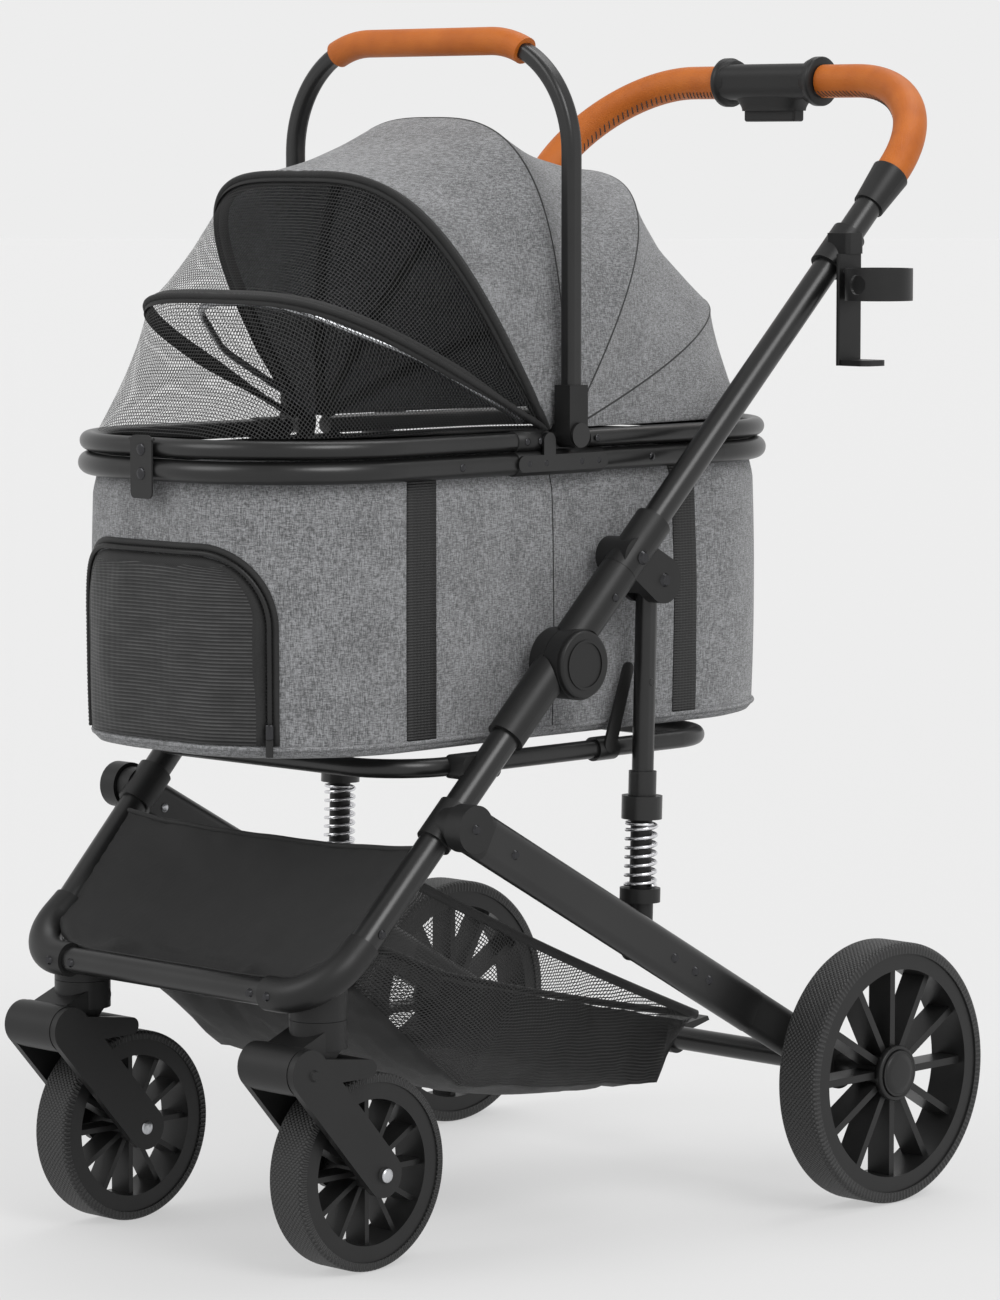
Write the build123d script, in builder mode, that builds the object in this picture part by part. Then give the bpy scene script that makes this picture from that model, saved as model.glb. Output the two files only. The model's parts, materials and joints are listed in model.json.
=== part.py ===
from build123d import *
import os

# Folding pet stroller with a lift-off carrier. Millimetres, +Z up, the front faces -Y.
# The origin is on the floor, under the middle of the overall box. Left is +X.
# Left-hand pieces are modelled and mirrored about the middle plane.

os.makedirs("parts", exist_ok=True)

# RUN is the radial gap of a running fit. PASS is the gap between bodies that only pass.
# HEAD_GAP keeps a flat head off a tube that leans under it.
RUN = 0.05
PASS = 0.4
HEAD_GAP = 0.3

# Side rails: straight tubes that lean outward a little as they rise.
RAIL_X, RAIL_Y, RAIL_Z = 184.5, -268.9, 330.0
RAIL_LEAN, RAIL_SLOPE = 0.0477, 0.9932
LOW_TUBE_R, LOW_TUBE_TOP = 12.5, 470.0
HIGH_TUBE_R, HIGH_TUBE_START = 12.0, 524.0
TUBE_WALL = 1.5
SLEEVE_R = 16.5

# Front cross bar, its corner elbows and the casters.
BAR_Y, BAR_Z, BAR_R = -373.0, 236.0, 11.0
ELBOW_TOP_Z, ELBOW_END_X = 276.0, 123.5
ELBOW_R, ELBOW_BEND = 14.5, 45.0
CASTER_X, CASTER_Y = 147.0, -340.0
SOCKET_R, SOCKET_BOTTOM, SOCKET_TOP = 24.0, 214.0, 246.0
KING_PIN_R, KING_PIN_TOP = 6.0, 240.0
STEM_BOTTOM = 190.0
FORK_Y, FORK_Z = -380.0, 177.0
BARREL_R, BARREL_HALF = 20.0, 26.0
ARM_IN, ARM_OUT = 26.4, 33.0
ARM_R = 19.5
GUARD_Y, GUARD_Z, GUARD_R = -313.0, 173.0, 7.5
FRONT_AXLE_Y = -296.5
AXLE_R = 5.0
FRONT_WHEEL_R, FRONT_WHEEL_W = 82.5, 38.0
REAR_WHEEL_R, REAR_WHEEL_W = 115.0, 41.0
REAR_WHEEL_X, REAR_AXLE_Y = 273.0, 220.5
SPOKES = 12

# Rear legs, from the pivots on the rails to the rear axle.
LEG_X, LEG_W, LEG_T = 214.0, 40.0, 18.0
LEG_WALL = 1.5
LEG_PIVOT_Z = 366.0
LEG_START, LEG_END = 20.0, 395.0
PIN_R = 5.0
AXLE_TUBE_R = 10.5

# Fold joint, lock brackets and the sprung posts.
FOLD_Y, FOLD_Z, FOLD_R = -94.0, 491.0, 30.0
SEAM_Z = 498.5
POST_X, POST_W, POST_T = 187.0, 20.0, 16.0
POST_FOOT_Y, POST_FOOT_Z = 0.0, 240.0
POST_TOP_Y, POST_TOP_Z = 9.0, 556.0
POST_BOTTOM_Z = 350.5
COLLAR_R = 17.5
POST_PIN_R = 4.0
ROD_R = 9.3
SPRING_LOW, SPRING_HIGH = 291.0, 350.0
SPRING_R, SPRING_WIRE, SPRING_TURNS = 12.9, 1.5, 7
LOCK_Z = 577.0

# Push handle, grips, console and cup holder.
HANDLE_Z, HANDLE_BEND = 983.0, 112.0
GRIP_R, GRIP_LOW_Z, GRIP_END_X = 15.2, 899.0, 61.0
CONSOLE_HALF = 59.0
TRIGGER_TRAVEL = 6.0
CUP_Y, CUP_LOW_Z, CUP_HIGH_Z, CUP_X = 222.0, 790.0, 818.0, 262.5
CUP_R = 29.5

# Carrier: stacked rims, bag, hood and carry arch, all centred on CARRIER_Y.
CARRIER_Y = -65.0
RIM_LONG, RIM_WIDE, RIM_CORNER = 322.5, 159.7, 130.0
LOWER_RIM_Z, LOWER_RIM_R = 658.5, 9.5
UPPER_RIM_Z, UPPER_RIM_R = 677.0, 8.0
HOOD_Y, HOOD_Z = -94.0, 677.0
REAR_RIM_START = -40.0
BAG_LONG, BAG_WIDE, BAG_CORNER = 320.0, 158.0, 128.0
BAG_LOW, BAG_HIGH = 424.0, 648.0
CLOTH, BAG_FLOOR = 4.0, 8.0
BAG_LEAN = 2.4
LATCH_PIN_Y, LATCH_PIN_Z = -398.0, 684.0
ARCH_X, ARCH_Y, ARCH_PIVOT_Z = 169.2, -66.0, 681.0
ARCH_TOP_Z, ARCH_BEND = 1012.0, 95.0
ARCH_T, ARCH_W = 14.0, 16.0
BOW_R, BOW_Z = 3.0, 694.0
HOOD_SPLIT_Y, HOOD_SPLIT_Z, HOOD_SPLIT_ANGLE = -82.0, 688.0, 56.3
SUPPORT_X, SUPPORT_Z, SUPPORT_R = 162.0, 411.0, 8.0
SUPPORT_FRONT, SUPPORT_BACK = -265.0, 135.0

# Horizontal outlines of the canopy: height, front, back, half width, corner radius.
CANOPY = [
    (689.0, -380.0, 250.0, 150.0, 122.0),
    (745.0, -348.0, 240.0, 148.0, 108.0),
    (801.0, -314.0, 229.0, 144.0, 95.0),
    (850.0, -263.0, 167.0, 134.0, 82.0),
    (900.0, -208.0, 100.0, 108.0, 62.0),
    (930.0, -125.0, 10.0, 74.0, 44.0),
    (946.0, -78.0, -42.0, 30.0, 14.0),
]

# Bows of the hood: the feet's y and half spread, the angle up from the front, and the length.
BOWS = [
    (-78.0, 138.0, 60.0, 226.0),
    (-56.0, 138.0, 88.0, 232.0),
    (-49.0, 136.0, 125.0, 224.0),
    (-42.0, 134.0, 157.0, 246.0),
]
MID_BOW = (-88.0, 130.0, 26.0, 226.0)


def save(piece, name):
    """Label a finished piece and write its STEP file."""
    piece.part.label = name
    export_step(piece.part, f"parts/{name}.step")


def save_pair(piece, name):
    """Write a left-hand piece and its mirror image."""
    with BuildPart() as other:
        mirror(piece.part, about=Plane.YZ)
    save(piece, f"{name}_left")
    save(other, f"{name}_right")


def rail(z):
    """The point on the left rail's axis at height z."""
    rise = z - RAIL_Z
    return Vector(RAIL_X + RAIL_LEAN * rise, RAIL_Y + RAIL_SLOPE * rise, z)


RAIL_DIR = (rail(HANDLE_Z) - rail(RAIL_Z)).normalized()
FOLD_X = rail(FOLD_Z).X
LEG_PIVOT = Vector(LEG_X, rail(LEG_PIVOT_Z).Y, LEG_PIVOT_Z)
LEG_DIR = (Vector(LEG_X, REAR_AXLE_Y, REAR_WHEEL_R) - LEG_PIVOT).normalized()
LEG_IN, LEG_OUT = LEG_X - LEG_T / 2, LEG_X + LEG_T / 2
POST_IN, POST_OUT = POST_X - POST_T / 2, POST_X + POST_T / 2
POST_FOOT = Vector(POST_X, POST_FOOT_Y, POST_FOOT_Z)
POST_DIR = (Vector(POST_X, POST_TOP_Y, POST_TOP_Z) - POST_FOOT).normalized()


def rail_plane(z):
    """A plane square to the left rail at height z, facing up along it."""
    return Plane(origin=rail(z), x_dir=(1, 0, -RAIL_DIR.X / RAIL_DIR.Z), z_dir=RAIL_DIR)


def rail_length(low, high):
    """The length of rail between two heights."""
    return (high - low) / RAIL_DIR.Z


def leg_plane(along):
    """A plane square to the left leg, a distance along it from its pivot."""
    return Plane(origin=LEG_PIVOT + LEG_DIR * along, x_dir=(1, 0, 0), z_dir=LEG_DIR)


def post_plane(height):
    """A plane square to the left post, at a height above the floor."""
    along = (height - POST_FOOT_Z) / POST_DIR.Z
    return Plane(origin=POST_FOOT + POST_DIR * along, x_dir=(1, 0, 0), z_dir=POST_DIR)


def side_plane(x, y=0.0, z=0.0):
    """A plane facing +X whose sketch axes are Y and Z."""
    return Plane(origin=(x, y, z), x_dir=(0, 1, 0), z_dir=(1, 0, 0))


def rod(plane, length, radius, bore=0.0):
    """A straight round rod or tube."""
    with BuildSketch(plane) as section:
        Circle(radius)
        if bore:
            Circle(bore, mode=Mode.SUBTRACT)
    extrude(section.sketch, amount=length)


def drill(plane, length, radius):
    """A straight round hole."""
    with BuildSketch(plane) as section:
        Circle(radius)
    extrude(section.sketch, amount=length, mode=Mode.SUBTRACT)


def across(x_low, x_high, y, z, radius, bore=0.0):
    """A round rod or tube lying along X."""
    rod(side_plane(x_low, y, z), x_high - x_low, radius, bore)


def drill_across(x_low, x_high, y, z, radius):
    """A round hole along X."""
    drill(side_plane(x_low, y, z), x_high - x_low, radius)


def sweep_round(points, bend, radius, bore=0.0, closed=False):
    """A round bar or tube along straight runs joined by bends."""
    with BuildLine() as path:
        FilletPolyline(*points, radius=bend, close=closed)
    wire = path.wire()
    with BuildSketch(Plane(origin=wire @ 0, z_dir=wire % 0)) as section:
        Circle(radius)
        if bore:
            Circle(bore, mode=Mode.SUBTRACT)
    sweep(section.sketch, path=wire)


def slot_bar(plane, length, width, thick, inset=0.0, mode=Mode.ADD):
    """A bar with a flat oval section, its width across X's normal."""
    with BuildSketch(plane) as section:
        SlotOverall(width - 2 * inset, thick - 2 * inset, rotation=90)
    extrude(section.sketch, amount=length, mode=mode)


def plate(x_low, x_high, circles):
    """A flat plate facing X whose outline wraps round circles (y, z, radius)."""
    with BuildSketch(side_plane(x_low)) as outline:
        for y, z, radius in circles:
            with Locations((y, z)):
                Circle(radius)
        make_hull(outline.edges())
    extrude(outline.sketch, amount=x_high - x_low)


def dome(plane, radius, height):
    """A low domed head standing on a plane."""
    with BuildSketch(plane) as section:
        Circle(radius)
    extrude(section.sketch, amount=height, taper=35)


# ---------------------------------------------------------------- chassis

def make_side_tubes():
    with BuildPart() as piece:
        length = rail_length(ELBOW_TOP_Z, LOW_TUBE_TOP)
        rod(rail_plane(ELBOW_TOP_Z), length, LOW_TUBE_R, LOW_TUBE_R - TUBE_WALL)
        mirror(about=Plane.YZ)
    save(piece, "side_tubes")


def make_front_crossbar():
    with BuildPart() as piece:
        across(-ELBOW_END_X, ELBOW_END_X, BAR_Y, BAR_Z, BAR_R, BAR_R - TUBE_WALL)
    save(piece, "front_crossbar")


def make_corner_elbows():
    """Moulded corners with a spigot into each tube and a caster socket below."""
    top = rail(ELBOW_TOP_Z)
    corner = Vector(top.X, BAR_Y, BAR_Z)
    start = top + (top - corner).normalized() * 8
    with BuildPart() as piece:
        sweep_round([start, corner, (ELBOW_END_X, BAR_Y, BAR_Z)], ELBOW_BEND, ELBOW_R)
        rod(Plane(origin=(CASTER_X, CASTER_Y, SOCKET_BOTTOM)), SOCKET_TOP - SOCKET_BOTTOM, SOCKET_R)
        drill(rail_plane(ELBOW_TOP_Z), 24, 2 * ELBOW_R)
        rod(rail_plane(ELBOW_TOP_Z - 4), 24, LOW_TUBE_R - TUBE_WALL - RUN)
        across(ELBOW_END_X - 16, ELBOW_END_X + 4, BAR_Y, BAR_Z, BAR_R - TUBE_WALL - RUN)
        drill(Plane(origin=(CASTER_X, CASTER_Y, SOCKET_BOTTOM)), 27, KING_PIN_R + RUN)
        mirror(about=Plane.YZ)
    save(piece, "corner_elbows")


def make_lower_joint_sleeves():
    """The fold joint's fixed halves: a sleeve, half of the disc and the pin."""
    with BuildPart() as piece:
        rod(rail_plane(434), rail_length(434, SEAM_Z - 0.3), SLEEVE_R)
        drill_across(FOLD_X, FOLD_X + 30, FOLD_Y, FOLD_Z, FOLD_R + 1)
        across(FOLD_X - 16, FOLD_X - PASS / 2, FOLD_Y, FOLD_Z, FOLD_R)
        drill(rail_plane(430), rail_length(430, LOW_TUBE_TOP), LOW_TUBE_R)
        across(FOLD_X - 10, FOLD_X + 14, FOLD_Y, FOLD_Z, PIN_R)
        mirror(about=Plane.YZ)
    save(piece, "lower_joint_sleeves")


def make_leg_pivot_brackets():
    """Clamps round the lower tubes, each with the rear leg's pivot pin."""
    face = LEG_IN - PASS
    with BuildPart() as piece:
        rod(rail_plane(LEG_PIVOT_Z - 13), rail_length(0, 26), LOW_TUBE_R + 3)
        across(face - 14, face, LEG_PIVOT.Y, LEG_PIVOT_Z, LOW_TUBE_R + 4)
        drill(rail_plane(LEG_PIVOT_Z - 30), rail_length(0, 60), LOW_TUBE_R)
        across(face - 1, LEG_OUT - 3, LEG_PIVOT.Y, LEG_PIVOT_Z, PIN_R)
        mirror(about=Plane.YZ)
    save(piece, "leg_pivot_brackets")


def make_carrier_support():
    """The tube loop that the carrier stands on."""
    front, back, x, z = SUPPORT_FRONT, SUPPORT_BACK, SUPPORT_X, SUPPORT_Z
    with BuildPart() as piece:
        sweep_round([(0, front, z), (x, front, z), (x, back, z), (0, back, z)], 60, SUPPORT_R)
        mirror(about=Plane.YZ)
    save(piece, "carrier_support")


def make_support_brackets():
    """Saddle blocks between the loop and the lower tubes."""
    joint = rail(SUPPORT_Z)
    with BuildPart() as piece:
        with BuildSketch(side_plane(SUPPORT_X + 1, joint.Y, SUPPORT_Z)):
            RectangleRounded(44, 20, 6)
        extrude(amount=joint.X - SUPPORT_X - 4)
        drill(Plane(origin=(SUPPORT_X, -300, SUPPORT_Z), z_dir=(0, 1, 0)), 400, SUPPORT_R)
        drill(rail_plane(SUPPORT_Z - 40), rail_length(0, 80), LOW_TUBE_R)
        mirror(about=Plane.YZ)
    save(piece, "support_brackets")


def make_support_struts():
    """Flat bars that rise from clips on the loop beside the posts."""
    with BuildPart() as piece:
        plate(SUPPORT_X + SUPPORT_R + 0.2, SUPPORT_X + SUPPORT_R + 2.8, [(-20, 415, 7), (2, 478, 6)])
        rod(Plane(origin=(SUPPORT_X, -32, SUPPORT_Z), z_dir=(0, 1, 0)), 24, SUPPORT_R + 2.4, SUPPORT_R)
        mirror(about=Plane.YZ)
    save(piece, "support_struts")


def make_foot_panel():
    """The fabric panel stretched between the lower tubes."""
    with BuildPart() as piece:
        with BuildSketch(side_plane(-164)):
            with BuildLine():
                Polyline((-356, 261.5), (-262, 350), (-264.2, 352.2), (-358.2, 263.7), close=True)
            make_face()
        extrude(amount=328)
    save(piece, "foot_panel")


def make_basket():
    """The storage basket under the carrier, open on top."""
    outline = [(-300, 236), (-180, 136), (70, 106), (105, 165), (-255, 323)]
    inside = [(-295, 236), (-178.5, 139.2), (68, 109.2), (101.5, 163), (160, 300), (-255, 400)]
    with BuildPart() as piece:
        with BuildSketch(side_plane(-158)):
            with BuildLine():
                Polyline(*outline, close=True)
            make_face()
        extrude(amount=316)
        with BuildSketch(side_plane(-155)):
            with BuildLine():
                Polyline(*inside, close=True)
            make_face()
        extrude(amount=310, mode=Mode.SUBTRACT)
    save(piece, "basket")


def make_chassis_screws():
    """Domed screws that pin the elbows to the cross bar and the side tubes."""
    low = rail(ELBOW_TOP_Z + 9)
    with BuildPart() as piece:
        for x in (ELBOW_END_X - 12, ELBOW_END_X + 12):
            reach = BAR_R if x < ELBOW_END_X else ELBOW_R
            dome(Plane(origin=(x, BAR_Y - reach, BAR_Z), z_dir=(0, -1, 0)), 4, 1.8)
        dome(side_plane(low.X + LOW_TUBE_R + HEAD_GAP, low.Y, low.Z), 4, 1.8)
        mirror(about=Plane.YZ)
    save(piece, "chassis_screws")


# ---------------------------------------------------------------- push handle

def handle_corner(x):
    return Vector(x, rail(HANDLE_Z).Y, HANDLE_Z)


def make_handle_bar():
    foot, bend = rail(HIGH_TUBE_START), rail(HANDLE_Z)
    points = [foot, bend, handle_corner(-bend.X), Vector(-foot.X, foot.Y, foot.Z)]
    with BuildPart() as piece:
        sweep_round(points, HANDLE_BEND, HIGH_TUBE_R, HIGH_TUBE_R - TUBE_WALL)
    save(piece, "handle_bar")


def make_handle_grips():
    """Soft grips round the bar's two bends."""
    points = [rail(GRIP_LOW_Z), rail(HANDLE_Z), handle_corner(GRIP_END_X)]
    with BuildPart() as piece:
        sweep_round(points, HANDLE_BEND, GRIP_R, HIGH_TUBE_R)
        mirror(about=Plane.YZ)
    save(piece, "handle_grips")


def make_handle_collars():
    """Flared collars under the grips."""
    with BuildPart() as piece:
        with BuildSketch(rail_plane(GRIP_LOW_Z - 28)):
            Circle(14.2)
        with BuildSketch(rail_plane(GRIP_LOW_Z - 0.2)):
            Circle(17.3)
        loft()
        drill(rail_plane(GRIP_LOW_Z - 40), 60, HIGH_TUBE_R)
        mirror(about=Plane.YZ)
    save(piece, "handle_collars")


def make_console():
    """The housing in the middle of the bar that holds the fold trigger."""
    centre = handle_corner(0)
    pocket = Plane(origin=(0, centre.Y, HANDLE_Z - 20))
    with BuildPart() as piece:
        with BuildSketch(side_plane(-CONSOLE_HALF, centre.Y, HANDLE_Z)):
            RectangleRounded(40, 33, 12)
        extrude(amount=2 * CONSOLE_HALF)
        fillet(faces().filter_by(Axis.X).edges(), 4)
        drill_across(-80, 80, centre.Y, HANDLE_Z, HIGH_TUBE_R)
        with BuildSketch(pocket):
            RectangleRounded(64, 17, 3)
        extrude(amount=20 - HIGH_TUBE_R - 1, mode=Mode.SUBTRACT)
    save(piece, "console")


def make_trigger():
    """The squeeze trigger, sunk a little way into the console's underside."""
    centre = handle_corner(0)
    top = HANDLE_Z - HIGH_TUBE_R - 1 - TRIGGER_TRAVEL - PASS
    with BuildPart() as piece:
        with BuildSketch(Plane(origin=(0, centre.Y, top))):
            RectangleRounded(62, 15, 2.6)
        extrude(amount=-17)
        fillet(faces().sort_by(Axis.Z)[0].edges(), 2.4)
    save(piece, "trigger")


def make_upper_joint_sleeves():
    """The fold joint's moving halves: a sleeve and half of the disc."""
    with BuildPart() as piece:
        rod(rail_plane(SEAM_Z + 0.3), rail_length(SEAM_Z + 0.3, 565), SLEEVE_R)
        drill_across(FOLD_X - 30, FOLD_X, FOLD_Y, FOLD_Z, FOLD_R + 1)
        across(FOLD_X + PASS / 2, FOLD_X + 16, FOLD_Y, FOLD_Z, FOLD_R)
        drill(rail_plane(HIGH_TUBE_START), rail_length(HIGH_TUBE_START, 580), HIGH_TUBE_R)
        drill_across(FOLD_X - 1, FOLD_X + 14.5, FOLD_Y, FOLD_Z, PIN_R + RUN)
        drill_across(FOLD_X + 16, FOLD_X + 30, FOLD_Y, FOLD_Z, FOLD_R)
        mirror(about=Plane.YZ)
    save(piece, "upper_joint_sleeves")


def make_fold_caps():
    """Round covers on the fold joints."""
    with BuildPart() as piece:
        across(FOLD_X + 16, FOLD_X + 21, FOLD_Y, FOLD_Z, FOLD_R - 1.5)
        fillet(faces().sort_by(Axis.X)[-1].edges(), 2.5)
        with BuildSketch(side_plane(FOLD_X + 21, FOLD_Y, FOLD_Z)):
            Circle(FOLD_R - 9)
            Circle(FOLD_R - 11, mode=Mode.SUBTRACT)
        extrude(amount=1)
        mirror(about=Plane.YZ)
    save(piece, "fold_caps")


def make_lock_brackets():
    """Brackets on the handle tubes whose two cheeks hold the posts."""
    grip = rail(LOCK_Z)
    with BuildPart() as piece:
        plate(173.5, 208, [(grip.Y, LOCK_Z, 17), (POST_TOP_Y, POST_TOP_Z, 20)])
        drill(rail_plane(530), rail_length(530, 565.2), SLEEVE_R + 2)
        rod(rail_plane(565.2), rail_length(565.2, 606), SLEEVE_R)
        drill(rail_plane(540), rail_length(540, 640), HIGH_TUBE_R)
        drill_across(POST_IN - PASS, POST_OUT + PASS, POST_TOP_Y, POST_TOP_Z, 21.5)
        across(POST_IN - 2, POST_OUT + 2, POST_TOP_Y, POST_TOP_Z, POST_PIN_R)
        mirror(about=Plane.YZ)
    save(piece, "lock_brackets")


def make_handle_rivets():
    """Domed heads on the lock brackets and the upper sleeves."""
    low, lock = rail(545), rail(LOCK_Z)
    with BuildPart() as piece:
        dome(side_plane(lock.X + SLEEVE_R + HEAD_GAP, lock.Y, lock.Z), 6, 2.4)
        dome(side_plane(208, POST_TOP_Y, POST_TOP_Z), 6, 2.4)
        dome(side_plane(low.X + SLEEVE_R + HEAD_GAP, low.Y, low.Z), 3.6, 1.6)
        mirror(about=Plane.YZ)
    save(piece, "handle_rivets")


def make_cup_clamp():
    """The clamp round the left handle tube and its bridge to the holder."""
    with BuildPart() as piece:
        rod(rail_plane(818), rail_length(818, 846), HIGH_TUBE_R + 3.6)
        with BuildSketch(Plane(origin=(219, CUP_Y + 5, 830))):
            RectangleRounded(26, 22, 4)
        extrude(amount=18)
        drill(rail_plane(800), rail_length(800, 870), HIGH_TUBE_R)
    save(piece, "cup_clamp")


def make_cup_holder():
    """The hanging plate with its foot, where a cup's base rests."""
    with BuildPart() as piece:
        with BuildSketch(Plane(origin=(CUP_X - CUP_R - 5, CUP_Y, 733))):
            RectangleRounded(4, 30, 1.5)
        extrude(amount=97)
        with BuildSketch(Plane(origin=(CUP_X - CUP_R - 5, CUP_Y, 733))):
            with Locations((16, 0)):
                RectangleRounded(34, 30, 8)
        extrude(amount=5)
    save(piece, "cup_holder")


def make_cup_ring():
    """The ring, pierced by windows, with its hinge knuckle on top at the plate."""
    knuckle_x = CUP_X - CUP_R - 0.6 + 2
    with BuildPart() as piece:
        rod(Plane(origin=(CUP_X, CUP_Y, CUP_LOW_Z)), CUP_HIGH_Z - CUP_LOW_Z, CUP_R, CUP_R - 3)
        for turn in range(-120, 121, 48):
            with BuildSketch(Plane(origin=(CUP_X, CUP_Y, CUP_LOW_Z + 14)).rotated((90, 0, 90 + turn))):
                RectangleRounded(15, 13, 3)
            extrude(amount=CUP_R + 5, mode=Mode.SUBTRACT)
        with BuildSketch(Plane(origin=(knuckle_x, CUP_Y - 12, CUP_HIGH_Z - 3), z_dir=(0, 1, 0))):
            Circle(2.4)
        extrude(amount=24)
    save(piece, "cup_ring")


# ---------------------------------------------------------------- rear frame

def make_rear_legs():
    with BuildPart() as piece:
        slot_bar(leg_plane(LEG_START), LEG_END - LEG_START, LEG_W, LEG_T)
        slot_bar(leg_plane(LEG_START), LEG_END - LEG_START, LEG_W, LEG_T, LEG_WALL, Mode.SUBTRACT)
        mirror(about=Plane.YZ)
    save(piece, "rear_legs")


def make_leg_end_caps():
    """Rounded upper ends of the legs, bored for the pivot pins."""
    with BuildPart() as piece:
        across(LEG_IN, LEG_OUT, LEG_PIVOT.Y, LEG_PIVOT_Z, LEG_W / 2)
        slot_bar(leg_plane(0), LEG_START, LEG_W, LEG_T)
        slot_bar(leg_plane(LEG_START - 1), 20, LEG_W, LEG_T, LEG_WALL + RUN)
        drill_across(LEG_IN - 1, LEG_OUT - 2.5, LEG_PIVOT.Y, LEG_PIVOT_Z, PIN_R + RUN)
        mirror(about=Plane.YZ)
    save(piece, "leg_end_caps")


def make_leg_end_sleeves():
    """Moulded lower ends of the legs that carry the rear axle."""
    with BuildPart() as piece:
        slot_bar(leg_plane(LEG_END), 122, LEG_W - 1, LEG_T)
        slot_bar(leg_plane(LEG_END - 18), 19, LEG_W, LEG_T, LEG_WALL + RUN)
        across(LEG_IN, LEG_OUT + 3, REAR_AXLE_Y, REAR_WHEEL_R, 22)
        drill_across(LEG_IN - 1, LEG_OUT + 4, REAR_AXLE_Y, REAR_WHEEL_R, AXLE_R)
        mirror(about=Plane.YZ)
    save(piece, "leg_end_sleeves")


def make_rear_axle():
    """The axle rod in its cross tube, with a spacer outside each leg."""
    hub_face = REAR_WHEEL_X - REAR_WHEEL_W / 2
    with BuildPart() as piece:
        across(-LEG_IN, LEG_IN, REAR_AXLE_Y, REAR_WHEEL_R, AXLE_TUBE_R)
        across(-REAR_WHEEL_X - 16, REAR_WHEEL_X + 16, REAR_AXLE_Y, REAR_WHEEL_R, AXLE_R)
        across(LEG_OUT + 3, hub_face - PASS, REAR_AXLE_Y, REAR_WHEEL_R, 9)
        across(-hub_face + PASS, -LEG_OUT - 3, REAR_AXLE_Y, REAR_WHEEL_R, 9)
    save(piece, "rear_axle")


def make_leg_rivets():
    """Domed heads on the outer faces of the legs."""
    with BuildPart() as piece:
        for along in (0, 52, 274, 304, 324):
            spot = LEG_PIVOT + LEG_DIR * along
            dome(side_plane(LEG_OUT, spot.Y, spot.Z), 4.2, 1.8)
        mirror(about=Plane.YZ)
    save(piece, "leg_rivets")


def make_brake_pedal():
    """The foot pedal that turns on the axle's cross tube."""
    with BuildPart() as piece:
        across(-30, 30, REAR_AXLE_Y, REAR_WHEEL_R, AXLE_TUBE_R + 4)
        with BuildSketch(side_plane(-22)):
            with BuildLine():
                Polyline((REAR_AXLE_Y, 122), (270, 128), (272, 124), (REAR_AXLE_Y, 112), close=True)
            make_face()
        extrude(amount=44)
        drill_across(-31, 31, REAR_AXLE_Y, REAR_WHEEL_R, AXLE_TUBE_R + RUN)
    save(piece, "brake_pedal")


# ---------------------------------------------------------------- posts

def make_posts():
    """Upper post tubes: an oval tube on a round sleeve and a collar over the spring."""
    with BuildPart() as piece:
        with BuildSketch(post_plane(389)):
            SlotOverall(POST_W, POST_T, rotation=90)
        extrude(amount=167)
        across(POST_IN, POST_OUT, POST_TOP_Y, POST_TOP_Z, POST_W / 2)
        rod(post_plane(POST_BOTTOM_Z), 20, COLLAR_R)
        rod(post_plane(POST_BOTTOM_Z + 19), 22, 12)
        drill(post_plane(POST_BOTTOM_Z - 1), 38, ROD_R + RUN)
        drill_across(POST_IN - 1, POST_OUT + 1, POST_TOP_Y, POST_TOP_Z, POST_PIN_R + RUN)
        dome(side_plane(POST_OUT - 1, POST_TOP_Y - 2.5, 468), 4, 2)
    save_pair(piece, "post_tube")


def make_post_feet():
    """Sliding feet: an end boss, a collar under the spring and a rod up the post."""
    with BuildPart() as piece:
        rod(post_plane(POST_FOOT_Z), SPRING_LOW - POST_FOOT_Z - 6, 11.5)
        across(POST_X - 10, POST_X + 10, POST_FOOT_Y, POST_FOOT_Z, 13)
        rod(post_plane(SPRING_LOW - 12), 12, COLLAR_R)
        rod(post_plane(SPRING_LOW - 6), 86, ROD_R)
    save_pair(piece, "post_foot")


def make_springs():
    """Compression springs round the rods, between the two collars."""
    pitch = (SPRING_HIGH - SPRING_LOW - 2 * SPRING_WIRE - 0.6) / SPRING_TURNS
    base = post_plane(SPRING_LOW + SPRING_WIRE + 0.3)
    with BuildPart() as piece:
        with BuildLine(base) as path:
            Helix(pitch=pitch, height=pitch * SPRING_TURNS, radius=SPRING_R)
        wire = path.wire()
        with BuildSketch(Plane(origin=wire @ 0, z_dir=wire % 0)):
            Circle(SPRING_WIRE)
        sweep(path=wire)
    save_pair(piece, "post_spring")


# ---------------------------------------------------------------- casters and wheels

def make_casters():
    """Swivel blocks: king pin, stem and the barrel that the fork turns on."""
    with BuildPart() as piece:
        rod(Plane(origin=(CASTER_X, CASTER_Y, STEM_BOTTOM)), SOCKET_BOTTOM - PASS - STEM_BOTTOM, SOCKET_R)
        rod(Plane(origin=(CASTER_X, CASTER_Y, STEM_BOTTOM)), KING_PIN_TOP - STEM_BOTTOM, KING_PIN_R)
        across(CASTER_X - BARREL_HALF, CASTER_X + BARREL_HALF, FORK_Y, FORK_Z, BARREL_R)
        plate(CASTER_X - 21, CASTER_X + 21,
              [(FORK_Y, FORK_Z, 17), (-352, 198, 8), (-334, 201, 8), (-345, 190, 8)])
        drill_across(CASTER_X - 30, CASTER_X + 30, FORK_Y, FORK_Z, PIN_R + RUN)
    save_pair(piece, "caster")


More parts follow.
